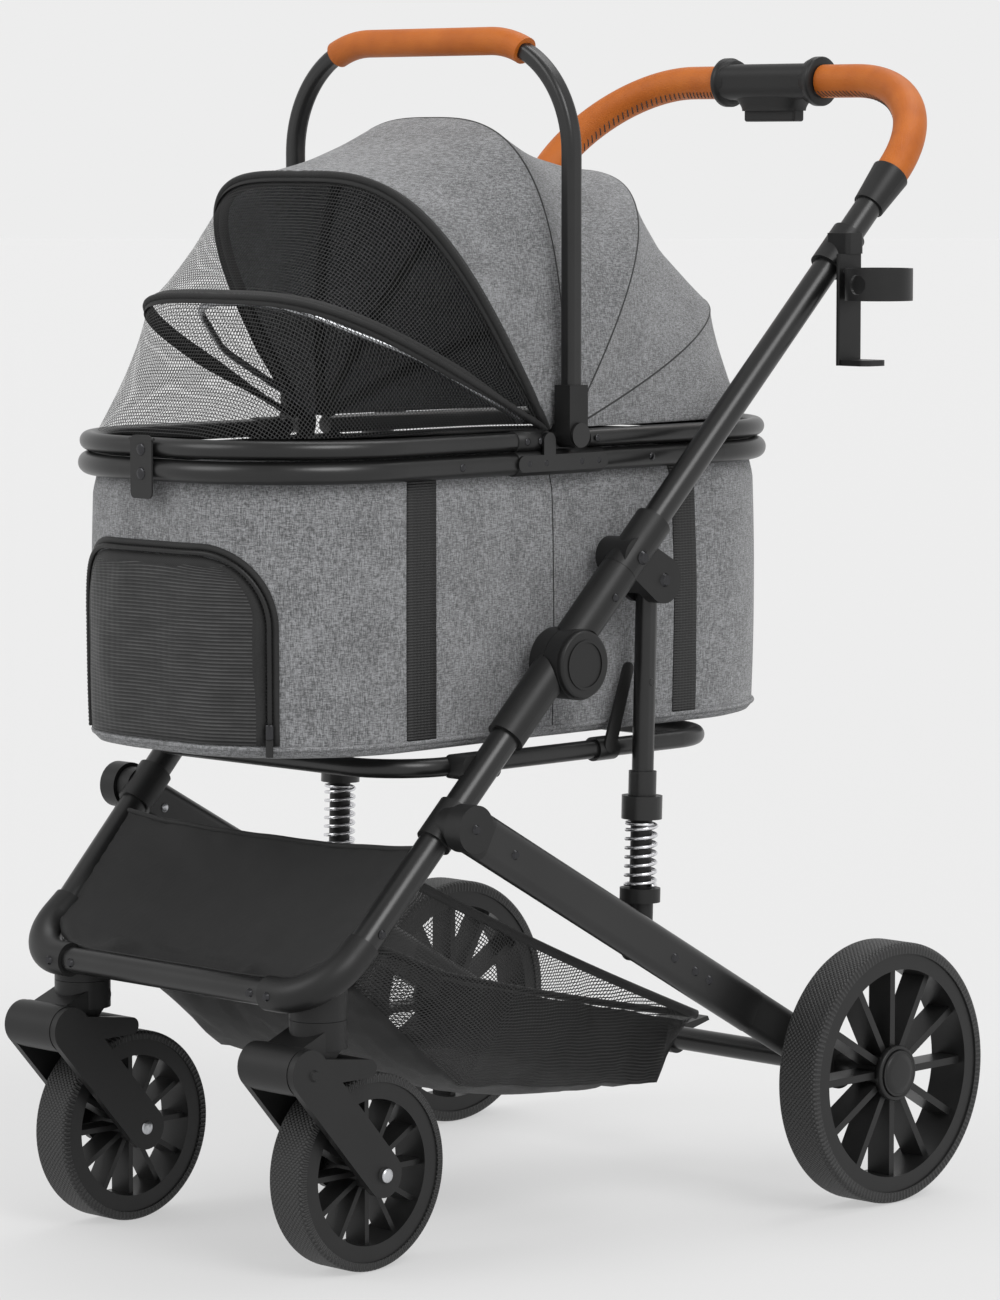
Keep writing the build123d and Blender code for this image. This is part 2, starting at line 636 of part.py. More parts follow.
def make_forks():
    """Wheel forks: two arms, the pivot pin, a guard bar and the axle."""
    arm = [(FORK_Y, FORK_Z, ARM_R), (FRONT_AXLE_Y, FRONT_WHEEL_R, ARM_R - 0.5)]
    lobe = [(FORK_Y + 8, FORK_Z, 11), (GUARD_Y, GUARD_Z, GUARD_R)]
    with BuildPart() as piece:
        for low, high in ((-ARM_OUT, -ARM_IN), (ARM_IN, ARM_OUT)):
            plate(CASTER_X + low, CASTER_X + high, arm)
            plate(CASTER_X + low, CASTER_X + high, lobe)
        across(CASTER_X - ARM_IN - 1, CASTER_X + ARM_IN + 1, GUARD_Y, GUARD_Z, GUARD_R)
        across(CASTER_X - ARM_IN - 1, CASTER_X + ARM_IN + 1, FORK_Y, FORK_Z, PIN_R)
        across(CASTER_X - ARM_IN - 1, CASTER_X + ARM_IN + 1, FRONT_AXLE_Y, FRONT_WHEEL_R, AXLE_R)
        dome(side_plane(CASTER_X + ARM_OUT, FORK_Y + 4, FORK_Z - 2), 5, 2)
        dome(side_plane(CASTER_X + ARM_OUT, FRONT_AXLE_Y, FRONT_WHEEL_R), 7, 3)
    save_pair(piece, "fork")


def make_wheel(name, x, y, radius, width, tyre, rim, hub, hub_half):
    """A moulded wheel: rim ring, flat blade spokes and a hub, inside a solid tyre."""
    with BuildPart() as piece:
        across(x - width / 2 + 1.5, x + width / 2 - 1.5, y, radius, radius - tyre, radius - tyre - rim)
        across(x - hub_half, x + hub_half, y, radius, hub)
        with BuildSketch(side_plane(x - width * 0.3, y, radius)):
            with PolarLocations((radius - tyre + hub) / 2 - 2, SPOKES):
                Rectangle(radius - tyre - hub - 1, radius * 0.055)
        extrude(amount=width * 0.6)
        drill_across(x - 40, x + 40, y, radius, AXLE_R + RUN)
    save_pair(piece, f"{name}_wheel")
    with BuildPart() as ring:
        across(x - width / 2, x + width / 2, y, radius, radius, radius - tyre)
        fillet(edges().filter_by(GeomType.CIRCLE).group_by(SortBy.RADIUS)[-1], tyre * 0.45)
    save_pair(ring, f"{name}_tyre")


# ---------------------------------------------------------------- carrier

def rim_outline(back, front):
    """Corners of a rim that is cut off at a y, on one side of the carrier."""
    return [(RIM_WIDE, back), (RIM_WIDE, front), (-RIM_WIDE, front), (-RIM_WIDE, back)]


def make_rims():
    """A closed lower rim, and an upper rim split for the hood's hinge."""
    front, back = CARRIER_Y - RIM_LONG, CARRIER_Y + RIM_LONG
    with BuildPart() as lower:
        corners = [(x, y, LOWER_RIM_Z) for x, y in rim_outline(back, front)]
        sweep_round(corners, RIM_CORNER, LOWER_RIM_R, closed=True)
    save(lower, "lower_rim")
    with BuildPart() as upper:
        corners = [(x, y, UPPER_RIM_Z) for x, y in rim_outline(REAR_RIM_START, back)]
        sweep_round(corners, RIM_CORNER, UPPER_RIM_R)
    save(upper, "upper_rim_rear")
    with BuildPart() as hood_rim:
        corners = [(x, y, UPPER_RIM_Z) for x, y in rim_outline(HOOD_Y, front)]
        sweep_round(corners, RIM_CORNER, UPPER_RIM_R)
        for x in (RIM_WIDE, -RIM_WIDE):
            across(x - UPPER_RIM_R, x + UPPER_RIM_R, HOOD_Y, HOOD_Z, UPPER_RIM_R)
        drill_across(-RIM_WIDE - 10, RIM_WIDE + 10, HOOD_Y, HOOD_Z, 3 + RUN)
    save(hood_rim, "upper_rim_front")


def make_hinge_plates():
    """Lugs on the lower rim with the hood's and the arch's pins and buttons."""
    edge = RIM_WIDE + LOWER_RIM_R
    inner = RIM_WIDE - 4.5
    with BuildPart() as piece:
        plate(edge, edge + 2.4, [(HOOD_Y - 30, LOWER_RIM_Z, 7), (HOOD_Y + 64, LOWER_RIM_Z, 7)])
        plate(edge, edge + 2.4, [(HOOD_Y, LOWER_RIM_Z, 7), (HOOD_Y, HOOD_Z, 7)])
        across(RIM_WIDE - 7, edge + 1, HOOD_Y, HOOD_Z, 3)
        plate(inner, inner + 4.6, [(ARCH_Y, LOWER_RIM_Z + 13, 9), (ARCH_Y, ARCH_PIVOT_Z, 11)])
        across(inner + 3, ARCH_X + 10, ARCH_Y, ARCH_PIVOT_Z, PIN_R)
        across(ARCH_X + 9.4, ARCH_X + 12, ARCH_Y, ARCH_PIVOT_Z, 10.5)
        drill(Plane(origin=(RIM_WIDE, -200, LOWER_RIM_Z), z_dir=(0, 1, 0)), 250, LOWER_RIM_R)
        mirror(about=Plane.YZ)
    save(piece, "hinge_plates")


def make_bag():
    """The carrier's fabric body: a tall oval tub, a little wider at the floor."""
    with BuildPart() as piece:
        with BuildSketch(Plane(origin=(0, CARRIER_Y, BAG_LOW))):
            RectangleRounded(2 * BAG_WIDE, 2 * BAG_LONG, BAG_CORNER)
        extrude(amount=BAG_HIGH - BAG_LOW, taper=0.6)
        fillet(faces().sort_by(Axis.Z)[0].edges(), 6)
        inset = CLOTH + BAG_LEAN
        with BuildSketch(Plane(origin=(0, CARRIER_Y, BAG_LOW + BAG_FLOOR))):
            RectangleRounded(2 * (BAG_WIDE - inset), 2 * (BAG_LONG - inset), BAG_CORNER - inset)
        extrude(amount=BAG_HIGH - BAG_LOW, mode=Mode.SUBTRACT)
    save(piece, "bag")


def canopy_loft(inset, mode=Mode.ADD):
    """The canopy's outer shape, or with an inset its inner shape."""
    outlines = []
    for level, (z, front, back, half, corner) in enumerate(CANOPY):
        drop = inset if level == len(CANOPY) - 1 else 0
        with BuildSketch(Plane(origin=(0, (front + back) / 2, z - drop))) as outline:
            RectangleRounded(2 * (half - inset), back - front - 2 * inset, corner - inset)
        outlines.append(outline.sketch)
    loft(outlines, ruled=True, mode=mode)


def make_canopy():
    """The fabric hood and, ahead of the zip bow, the mesh front that swings up."""
    forward = Vector(0, -1, 0).rotate(Axis.X, 90 - HOOD_SPLIT_ANGLE)
    cut = Plane(origin=(0, HOOD_SPLIT_Y, HOOD_SPLIT_Z), x_dir=(1, 0, 0), z_dir=forward)
    for name, keep in (("canopy_mesh", Keep.TOP), ("canopy_hood", Keep.BOTTOM)):
        with BuildPart() as piece:
            canopy_loft(0)
            canopy_loft(CLOTH, Mode.SUBTRACT)
            split(bisect_by=cut, keep=keep)
        save(piece, name)


def bow_points(foot_y, spread, angle, length):
    """Corner points of a bow that leans at an angle up from the front."""
    lean = Vector(0, -1, 0).rotate(Axis.X, -angle)
    foot = Vector(0, foot_y, BOW_Z)
    knee, crown = foot + lean * length * 0.55, foot + lean * length
    half = [(spread, foot), (spread - 11, knee), (spread - 76, crown)]
    left = [Vector(x, point.Y, point.Z) for x, point in half]
    return left + [Vector(-point.X, point.Y, point.Z) for point in reversed(left)]


def make_bows():
    """Wire bows inside the canopy. The foremost one swings with the hood."""
    with BuildPart() as piece:
        for bow in BOWS:
            sweep_round(bow_points(*bow), 70, BOW_R)
    save(piece, "canopy_bows")
    with BuildPart() as moving:
        sweep_round(bow_points(*MID_BOW), 70, BOW_R)
        foot_y, spread = MID_BOW[:2]
        for x in (-spread, spread):
            across(x - 2, x + 2, foot_y, BOW_Z, BOW_R + 1)
    save(moving, "mid_bow")


def make_rim_latch():
    """The snap strap that holds the hood's rim down at the front."""
    face = CARRIER_Y - RIM_LONG - LOWER_RIM_R
    with BuildPart() as piece:
        with BuildSketch(Plane(origin=(0, face - 0.3, 661), x_dir=(1, 0, 0), z_dir=(0, -1, 0))):
            RectangleRounded(26, 52, 5)
        extrude(amount=1.8)
        for z in (675, 655):
            dome(Plane(origin=(0, face - 2.1, z), z_dir=(0, -1, 0)), 3.5, 0.8)
        across(-15, 15, LATCH_PIN_Y, LATCH_PIN_Z, 1.2)
    save(piece, "rim_latch")


def arch_sweep(radius=0.0, mode=Mode.ADD):
    """The arch's path swept with its flat section, or its top swept with a round one."""
    bend_angle = 25.0 if radius else 90.0
    straight = ARCH_X - ARCH_BEND
    with BuildLine(Plane(origin=(0, ARCH_Y, 0), x_dir=(1, 0, 0), z_dir=(0, -1, 0))) as path:
        top = Line((-straight, ARCH_TOP_Z), (straight, ARCH_TOP_Z))
        JernArc(top @ 1, top % 1, ARCH_BEND, -bend_angle)
        JernArc(top @ 0, top % 0 * -1, ARCH_BEND, bend_angle)
        if not radius:
            for x in (-ARCH_X, ARCH_X):
                Line((x, ARCH_TOP_Z - ARCH_BEND), (x, 700))
    wire = path.wire()
    with BuildSketch(Plane(origin=wire @ 0, x_dir=(0, 1, 0), z_dir=wire % 0)) as section:
        if radius:
            Circle(radius)
        else:
            RectangleRounded(ARCH_W, ARCH_T, 5)
    sweep(section.sketch, path=wire, mode=mode)


def make_arch():
    """The carry arch, its grip and the sockets at its feet."""
    with BuildPart() as bar:
        arch_sweep()
    save(bar, "arch")
    with BuildPart() as sleeve:
        arch_sweep(radius=12)
        arch_sweep(mode=Mode.SUBTRACT)
    save(sleeve, "arch_grip")
    with BuildPart() as piece:
        with BuildSketch(side_plane(ARCH_X - 9)):
            with Locations((ARCH_Y, ARCH_PIVOT_Z)):
                Circle(11)
            with Locations((ARCH_Y, (ARCH_PIVOT_Z + 723) / 2)):
                Rectangle(22, 723 - ARCH_PIVOT_Z)
        extrude(amount=18)
        with BuildSketch(Plane(origin=(ARCH_X, ARCH_Y, 700))):
            RectangleRounded(ARCH_T, ARCH_W, 5)
        extrude(amount=30, mode=Mode.SUBTRACT)
        drill_across(ARCH_X - 10, ARCH_X + 10, ARCH_Y, ARCH_PIVOT_Z, PIN_R + RUN)
        mirror(about=Plane.YZ)
    save(piece, "arch_sockets")


make_side_tubes()
make_front_crossbar()
make_corner_elbows()
make_lower_joint_sleeves()
make_leg_pivot_brackets()
make_carrier_support()
make_support_brackets()
make_support_struts()
make_foot_panel()
make_basket()
make_chassis_screws()
make_handle_bar()
make_handle_grips()
make_handle_collars()
make_console()
make_trigger()
make_upper_joint_sleeves()
make_fold_caps()
make_lock_brackets()
make_handle_rivets()
make_cup_clamp()
make_cup_holder()
make_cup_ring()
make_rear_legs()
make_leg_end_caps()
make_leg_end_sleeves()
make_rear_axle()
make_leg_rivets()
make_brake_pedal()
make_posts()
make_post_feet()
make_springs()
make_casters()
make_forks()
make_wheel("front", CASTER_X, FRONT_AXLE_Y, FRONT_WHEEL_R, FRONT_WHEEL_W, 7.5, 14, 14, 26)
make_wheel("rear", REAR_WHEEL_X, REAR_AXLE_Y, REAR_WHEEL_R, REAR_WHEEL_W, 10, 13.5, 20, 20.5)
make_rims()
make_hinge_plates()
make_bag()
make_canopy()
make_bows()
make_rim_latch()
make_arch()
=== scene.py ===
import itertools
import json
import math
import bmesh
import bpy
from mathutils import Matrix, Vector, noise


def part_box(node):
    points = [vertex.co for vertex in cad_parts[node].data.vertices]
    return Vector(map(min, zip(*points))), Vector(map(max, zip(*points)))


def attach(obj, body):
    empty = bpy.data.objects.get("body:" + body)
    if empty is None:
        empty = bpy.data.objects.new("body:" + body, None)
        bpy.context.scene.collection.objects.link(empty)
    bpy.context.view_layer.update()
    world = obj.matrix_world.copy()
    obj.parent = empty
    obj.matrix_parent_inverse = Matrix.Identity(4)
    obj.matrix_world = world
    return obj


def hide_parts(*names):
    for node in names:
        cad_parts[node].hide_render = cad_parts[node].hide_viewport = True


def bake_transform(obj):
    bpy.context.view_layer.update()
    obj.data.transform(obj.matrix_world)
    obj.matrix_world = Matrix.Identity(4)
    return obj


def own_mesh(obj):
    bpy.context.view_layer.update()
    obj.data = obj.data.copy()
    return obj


# Looks of the folding pet stroller. Metres, +Z up, the front faces -Y, left is +X.

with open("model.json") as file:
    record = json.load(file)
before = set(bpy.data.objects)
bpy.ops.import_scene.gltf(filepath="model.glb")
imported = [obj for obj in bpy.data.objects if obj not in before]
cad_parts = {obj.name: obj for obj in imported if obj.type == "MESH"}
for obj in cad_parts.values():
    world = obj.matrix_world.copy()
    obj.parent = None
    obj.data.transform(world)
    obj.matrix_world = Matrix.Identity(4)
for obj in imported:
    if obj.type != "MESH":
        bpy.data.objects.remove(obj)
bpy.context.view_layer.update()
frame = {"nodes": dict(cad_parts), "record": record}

# ---------------------------------------------------------------- driving sizes

BAG_LOW, BAG_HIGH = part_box("bag")
LOWER_RIM_LOW, LOWER_RIM_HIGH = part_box("lower_rim")
UPPER_RIM_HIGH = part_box("upper_rim_front")[1]
MID_Y = (LOWER_RIM_LOW.y + LOWER_RIM_HIGH.y) / 2
BAG_HALF_LENGTH = (BAG_HIGH.y - BAG_LOW.y) / 2 - 0.002
BAG_HALF_WIDTH = (BAG_HIGH.x - BAG_LOW.x) / 2 - 0.002
BAG_CORNER = 0.126
BAG_TOP = LOWER_RIM_LOW.z + 0.004
BAG_FLOOR = BAG_LOW.z + 0.006
RIM_TOP = UPPER_RIM_HIGH.z
HOOD_HALF = 0.1535
HOOD_BASE = RIM_TOP + 0.001
HOOD_MIDDLE = Vector((0, MID_Y, HOOD_BASE + 0.05))

# Bows of the hood: angle up from the front, length, squareness and the y of the feet.
BOWS = {
    "front_rim": (0.0, 0.293, 3.4, -0.088),
    "mid": (26.0, 0.257, 3.74, -0.082),
    "zip": (56.3, 0.255, 3.6, -0.080),
    "crest": (87.6, 0.261, 3.0, -0.055),
    "rear_crest": (125.0, 0.264, 2.85, -0.052),
    "rear": (159.0, 0.298, 2.35, -0.049),
    "rear_rim": (180.0, 0.299, 3.2, -0.049),
}

SIDES = (("left", 1), ("right", -1))


# ---------------------------------------------------------------- shader helpers

def new_material(name):
    material = bpy.data.materials.new(name)
    material.use_nodes = True
    nodes = material.node_tree.nodes
    return material, material.node_tree, nodes["Principled BSDF"]


def add(tree, kind, **values):
    """A new node with its properties set."""
    node = tree.nodes.new(kind)
    for key, value in values.items():
        setattr(node, key, value)
    return node


def tune(node, **values):
    """Sets a node's input sockets, with _ for each space in a socket's name."""
    for key, value in values.items():
        node.inputs[key.replace("_", " ")].default_value = value


def link(source, target):
    source.id_data.links.new(source, target)


def ramp(source, stops):
    """A colour ramp driven by a value; stops are (position, grey or colour)."""
    node = add(source.id_data, "ShaderNodeValToRGB")
    elements = node.color_ramp.elements
    while len(elements) < len(stops):
        elements.new(0.5)
    for element, (position, colour) in zip(elements, stops):
        element.position = position
        shade = colour if isinstance(colour, tuple) else (colour, colour, colour)
        element.color = (*shade, 1.0)
    link(source, node.inputs["Fac"])
    return node.outputs["Color"]


def coordinates(tree, scale, cloth=False):
    """Object coordinates, or a cloth's own coordinates in metres, scaled."""
    if cloth:
        source = add(tree, "ShaderNodeUVMap", uv_map="cloth").outputs["UV"]
    else:
        source = add(tree, "ShaderNodeTexCoord").outputs["Object"]
    mapping = add(tree, "ShaderNodeMapping")
    tune(mapping, Scale=scale if isinstance(scale, tuple) else (scale,) * 3)
    link(source, mapping.inputs["Vector"])
    return mapping.outputs["Vector"]


def noise_value(vector, scale=1.0, detail=3.0, rough=0.55):
    node = add(vector.id_data, "ShaderNodeTexNoise")
    tune(node, Scale=scale, Detail=detail, Roughness=rough)
    link(vector, node.inputs["Vector"])
    return node.outputs["Fac"]


def paint(shader, source, stops):
    """A base colour that follows a value."""
    link(ramp(source, stops), shader.inputs["Base Color"])


def vary_gloss(shader, source, smooth, rough):
    """A roughness that follows a value."""
    node = add(source.id_data, "ShaderNodeMapRange")
    tune(node, To_Min=smooth, To_Max=rough)
    link(source, node.inputs["Value"])
    link(node.outputs["Result"], shader.inputs["Roughness"])


def maths(operation, a, b=None):
    node = add(a.id_data, "ShaderNodeMath", operation=operation)
    for socket, value in zip(node.inputs, (a, b)):
        if value is None:
            continue
        if isinstance(value, (int, float)):
            socket.default_value = value
        else:
            link(value, socket)
    return node.outputs[0]


def times(a, b):
    return maths("MULTIPLY", a, b)


def plus(a, b):
    return maths("ADD", a, b)


def bump(shader, height, strength, distance):
    node = add(height.id_data, "ShaderNodeBump")
    tune(node, Strength=strength, Distance=distance)
    link(height, node.inputs["Height"])
    link(node.outputs["Normal"], shader.inputs["Normal"])


def waves(vector, axis, count):
    """A smooth ridge pattern, count ridges per unit, along one cloth axis."""
    split = add(vector.id_data, "ShaderNodeSeparateXYZ")
    link(vector, split.inputs[0])
    turned = times(split.outputs[axis], count * 2 * math.pi)
    return maths("SINE", turned)


# ---------------------------------------------------------------- materials

def heather_fabric(name="heather_grey", dark=0.070, light=0.31):
    """Woven melange cloth: crossed flecks of light and dark yarn over a fine weave."""
    material, tree, shader = new_material(name)
    warp = noise_value(coordinates(tree, (1050, 1050, 170)), rough=0.74)
    weft = noise_value(coordinates(tree, (200, 200, 1100)), rough=0.74)
    cloudy = noise_value(coordinates(tree, 26))
    yarn = plus(times(warp, 0.5), times(weft, 0.5))
    mixed = plus(yarn, times(maths("SUBTRACT", cloudy, 0.5), 0.10))
    middle = (dark + light) / 2
    tint = [(0.41, dark), (0.47, middle * 0.72), (0.53, middle * 1.18), (0.59, light)]
    colours = [(at, (grey * 0.985, grey, grey * 1.03)) for at, grey in tint]
    paint(shader, mixed, colours)
    weave = coordinates(tree, 1, cloth=True)
    grid = times(waves(weave, 0, 1150), waves(weave, 1, 1150))
    height = plus(times(yarn, 1.6), times(grid, 0.35))
    bump(shader, height, 0.55, 0.0006)
    tune(shader, Roughness=0.88, Sheen_Weight=0.25, Sheen_Roughness=0.5)
    return material


def black_fabric(name, base, count, sheen):
    """Plain woven cloth or tape, in a near black."""
    material, tree, shader = new_material(name)
    weave = coordinates(tree, 1, cloth=True)
    grid = times(waves(weave, 0, count), waves(weave, 1, count))
    patches = noise_value(coordinates(tree, 40, cloth=True), detail=4.0)
    paint(shader, patches, [(0.3, base * 0.75), (0.7, base * 1.35)])
    bump(shader, grid, 0.35, 0.0004)
    tune(shader, Roughness=0.72, Sheen_Weight=sheen)
    return material


def webbing_material():
    """Ribbed polypropylene tape: strong cross ribs and a fine lengthwise grain."""
    material, tree, shader = new_material("webbing")
    weave = coordinates(tree, 1, cloth=True)
    ribs = waves(weave, 1, 420)
    grain = waves(weave, 0, 260)
    height = plus(times(ribs, 0.7), times(grain, 0.3))
    # The colour follows the ribs, darker in the valleys and lighter on the crests: painted shade between the ribs
    # and painted highlight on their tops.
    paint(shader, ribs, [(0.2, 0.006), (0.9, 0.030)])
    bump(shader, height, 0.8, 0.0005)
    tune(shader, Roughness=0.62)
    return material


def mesh_fabric(name, pitch, open_part, base):
    """Open net: yarns on a grid in the cloth's own coordinates, with clear holes between."""
    material, tree, shader = new_material(name)
    weave = coordinates(tree, 1, cloth=True)
    across = waves(weave, 0, 1 / pitch)
    along = waves(weave, 1, 1 / pitch)
    holes = maths("MINIMUM", across, along)
    solid = maths("LESS_THAN", holes, math.cos(math.pi * open_part))
    clear = add(tree, "ShaderNodeBsdfTransparent")
    mixer = add(tree, "ShaderNodeMixShader")
    link(solid, mixer.inputs["Fac"])
    link(clear.outputs[0], mixer.inputs[1])
    link(shader.outputs[0], mixer.inputs[2])
    link(mixer.outputs[0], tree.nodes["Material Output"].inputs["Surface"])
    tone = noise_value(coordinates(tree, 60, cloth=True))
    paint(shader, tone, [(0.3, base * 0.8), (0.7, base * 1.3)])
    bump(shader, maths("MAXIMUM", across, along), 0.5, 0.0004)
    tune(shader, Roughness=0.6)
    return material


def ribbed_net():
    """The door's close double net: fine level ribs crossed by faint upright ones."""
    material, tree, shader = new_material("door_net")
    weave = coordinates(tree, 1, cloth=True)
    ribs = waves(weave, 1, 330)
    upright = waves(weave, 0, 120)
    cloudy = noise_value(coordinates(tree, (30, 90, 30), cloth=True))
    # The tone is partly random cloudiness of the yarn and partly the ribs: painted shade between the ribs and
    # painted highlight on their crests.
    tone = plus(times(ribs, 0.5), times(cloudy, 0.9))
    paint(shader, tone, [(0.1, 0.003), (0.6, 0.012), (0.98, 0.055)])
    height = plus(ribs, times(upright, 0.25))
    bump(shader, height, 0.7, 0.0006)
    tune(shader, Roughness=0.55)
    return material


def plastic(name, grey, rough, grain=0.25):
    """Moulded plastic: a fine grain, faint colour variation and slightly worn sheen."""
    material, tree, shader = new_material(name)
    fine = noise_value(coordinates(tree, 1400), detail=2.0)
    broad = noise_value(coordinates(tree, 22), detail=4.0)
    paint(shader, broad, [(0.3, grey * 0.85), (0.7, grey * 1.15)])
    vary_gloss(shader, broad, rough - 0.05, rough + 0.08)
    bump(shader, fine, grain, 0.00025)
    tune(shader, Specular_IOR_Level=0.34)
    return material


def painted_tube():
    """Satin black powder coat with the faint orange peel of sprayed paint."""
    material, tree, shader = new_material("painted_tube")
    peel = noise_value(coordinates(tree, 320), detail=2.0)
    broad = noise_value(coordinates(tree, 14), detail=4.0)
    paint(shader, broad, [(0.3, 0.005), (0.7, 0.009)])
    vary_gloss(shader, broad, 0.26, 0.38)
    bump(shader, peel, 0.12, 0.0004)
    return material


def bare_metal(name, colour, rough):
    material, tree, shader = new_material(name)
    lines = noise_value(coordinates(tree, (900, 900, 90)), detail=2.0)
    vary_gloss(shader, lines, rough - 0.07, rough + 0.10)
    shade = [(0.3, tuple(c * 0.85 for c in colour)), (0.7, colour)]
    paint(shader, lines, shade)
    tune(shader, Metallic=1.0)
    return material


def tan_leather():
    """Stitched tan synthetic leather with a pebbled grain."""
    material, tree, shader = new_material("tan_leather")
    vector = coordinates(tree, 1)
    cells = add(tree, "ShaderNodeTexVoronoi", feature="F1")
    tune(cells, Scale=850)
    link(vector, cells.inputs["Vector"])
    broad = noise_value(vector, scale=35, detail=5.0)
    tones = [(0.25, (0.375, 0.090, 0.007)), (0.55, (0.45, 0.115, 0.010)), (0.8, (0.51, 0.140, 0.014))]
    paint(shader, broad, tones)
    grain = plus(cells.outputs["Distance"], times(broad, 0.4))
    bump(shader, grain, 0.45, 0.0006)
    tune(shader, Roughness=0.5, Specular_IOR_Level=0.32)
    return material


def tyre_rubber(name, node, pairs):
    """Foam rubber with a fine diamond knurl round the tread, and plain side walls."""
    low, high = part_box(node)
    centre, radius = (low + high) / 2, (high.z - low.z) / 2
    material, tree, shader = new_material(name)
    split = add(tree, "ShaderNodeSeparateXYZ")
    link(add(tree, "ShaderNodeTexCoord").outputs["Object"], split.inputs[0])
    y = maths("SUBTRACT", split.outputs["Y"], centre.y)
    z = maths("SUBTRACT", split.outputs["Z"], centre.z)
    around = times(maths("ARCTAN2", y, z), pairs / 2)
    across = times(split.outputs["X"], pairs / 2 / radius)
    one = maths("ABSOLUTE", maths("SINE", plus(around, across)))
    two = maths("ABSOLUTE", maths("SINE", maths("SUBTRACT", around, across)))
    diamonds = maths("POWER", times(one, two), 0.5)
    reach = maths("SQRT", plus(times(y, y), times(z, z)))
    tread = maths("GREATER_THAN", reach, radius - 0.0095)
    height = times(diamonds, tread)
    fine = noise_value(coordinates(tree, 700))
    height = plus(height, times(fine, 0.06))
    # Colour follows the knurl's height with some random tone: painted highlight on the knurl tops and painted
    # shade in the grooves between them.
    dark = plus(times(height, 0.6), times(fine, 0.2))
    paint(shader, dark, [(0.05, 0.007), (0.8, 0.030)])
    bump(shader, height, 0.9, 0.0016)
    tune(shader, Roughness=0.55)
    return material


MATERIALS = {
    "frame": painted_tube(),
    "plastic": plastic("moulded_plastic", 0.010, 0.42),
    "wheel": plastic("wheel_plastic", 0.011, 0.38, grain=0.15),
    "front_tyre": tyre_rubber("front_tyre_rubber", "front_tyre_left", 118),
    "rear_tyre": tyre_rubber("rear_tyre_rubber", "rear_tyre_left", 164),
    "steel": bare_metal("zinc_steel", (0.60, 0.61, 0.63), 0.30),
    "rivet": bare_metal("black_rivet", (0.055, 0.055, 0.058), 0.24),
    "spring": bare_metal("spring_steel", (0.80, 0.80, 0.82), 0.22),
    "tan": tan_leather(),
    "heather": heather_fabric(),
    # A darker copy of the heather cloth, used only for the pad deep inside the bag: its darkness is painted shade.
    "shaded_heather": heather_fabric("heather_painted_shade", 0.035, 0.11),
    "black": black_fabric("black_fabric", 0.009, 900, 0.06),
    "panel": black_fabric("panel_cloth", 0.005, 700, 0.02),
    "binding": black_fabric("binding_tape", 0.007, 500, 0.05),
    "webbing": webbing_material(),
    "net": mesh_fabric("hood_net", 0.0032, 0.79, 0.008),
    "basket_net": mesh_fabric("basket_net", 0.0030, 0.66, 0.008),
    "door_net": ribbed_net(),
    # Stitch thread in a dark grey: partly the thread's own tone, partly painted shade of the stitch holes and seam
    # folds.
    "thread": plastic("dark_thread_painted_shade", 0.035, 0.7),
}


# ---------------------------------------------------------------- mesh helpers

def finish_piece(piece, body, material, replaced=()):
    """Gives a piece its material, the body it rides on and the CAD nodes it replaces."""
    piece.data.materials.clear()
    piece.data.materials.append(MATERIALS[material])
    piece.data.shade_smooth()
    if body:
        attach(piece, body)
    if replaced:
        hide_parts(*replaced)
    return piece


def place(name, data):
    """A new object in the scene."""
    made = bpy.data.objects.new(name, data)
    bpy.context.collection.objects.link(made)
    return made


def mesh_piece(name, points, faces, coords=None):
    """An object from points and faces, with cloth coordinates (in metres) per point."""
    mesh = bpy.data.meshes.new(name)
    mesh.from_pydata([tuple(p) for p in points], [], faces)
    mesh.update()
    if coords:
        layer = mesh.uv_layers.new(name="cloth")
        for loop in mesh.loops:
            layer.data[loop.index].uv = coords[loop.vertex_index]
    return place(name, mesh)


def quads(rows, columns, closed, base=0):
    """The faces between rows of points, numbered on from a first point."""
    faces = []
    for r in range(rows - 1):
        for c in range(columns if closed else columns - 1):
            d, low, high = (c + 1) % columns, base + r * columns, base + (r + 1) * columns
            faces.append((low + c, low + d, high + d, high + c))
    return faces


def grid_piece(name, rows, closed=False):
    """A surface through rows of points; its cloth coordinates follow lengths along it."""
    count = len(rows[0])
    points, coords = [], []
    travelled = [0.0] * count
    for r, row in enumerate(rows):
        steps = [0.0] + [(point - row[c]).length for c, point in enumerate(row[1:])]
        along = list(itertools.accumulate(steps))
        middle = along[count // 2]
        for c, point in enumerate(row):
            if r:
                travelled[c] += (point - rows[r - 1][c]).length
            points.append(point)
            coords.append((along[c] - middle, travelled[c]))
    return mesh_piece(name, points, quads(len(rows), count, closed), coords)


def thicken(piece, thickness, offset=-1.0):
    """Gives a cloth its thickness and applies it, so the final mesh is closed."""
    solid = piece.modifiers.new("thickness", "SOLIDIFY")
    solid.thickness = thickness
    solid.offset = offset
    apply_modifiers(piece)


def apply_modifiers(piece):
    """Replaces a piece's mesh with the one its modifiers make."""
    graph = bpy.context.evaluated_depsgraph_get()
    made = bpy.data.meshes.new_from_object(piece.evaluated_get(graph), depsgraph=graph)
    old = piece.data
    piece.modifiers.clear()
    piece.data = made
    bpy.data.meshes.remove(old)
    made.name = piece.name


def ring(centre, side, top, radius_a, radius_b, sides):
    """Points round an oval, from its side towards its top."""
    turns = [2 * math.pi * k / sides for k in range(sides)]
    return [centre + side * (radius_a * math.cos(t)) + top * (radius_b * math.sin(t)) for t in turns]


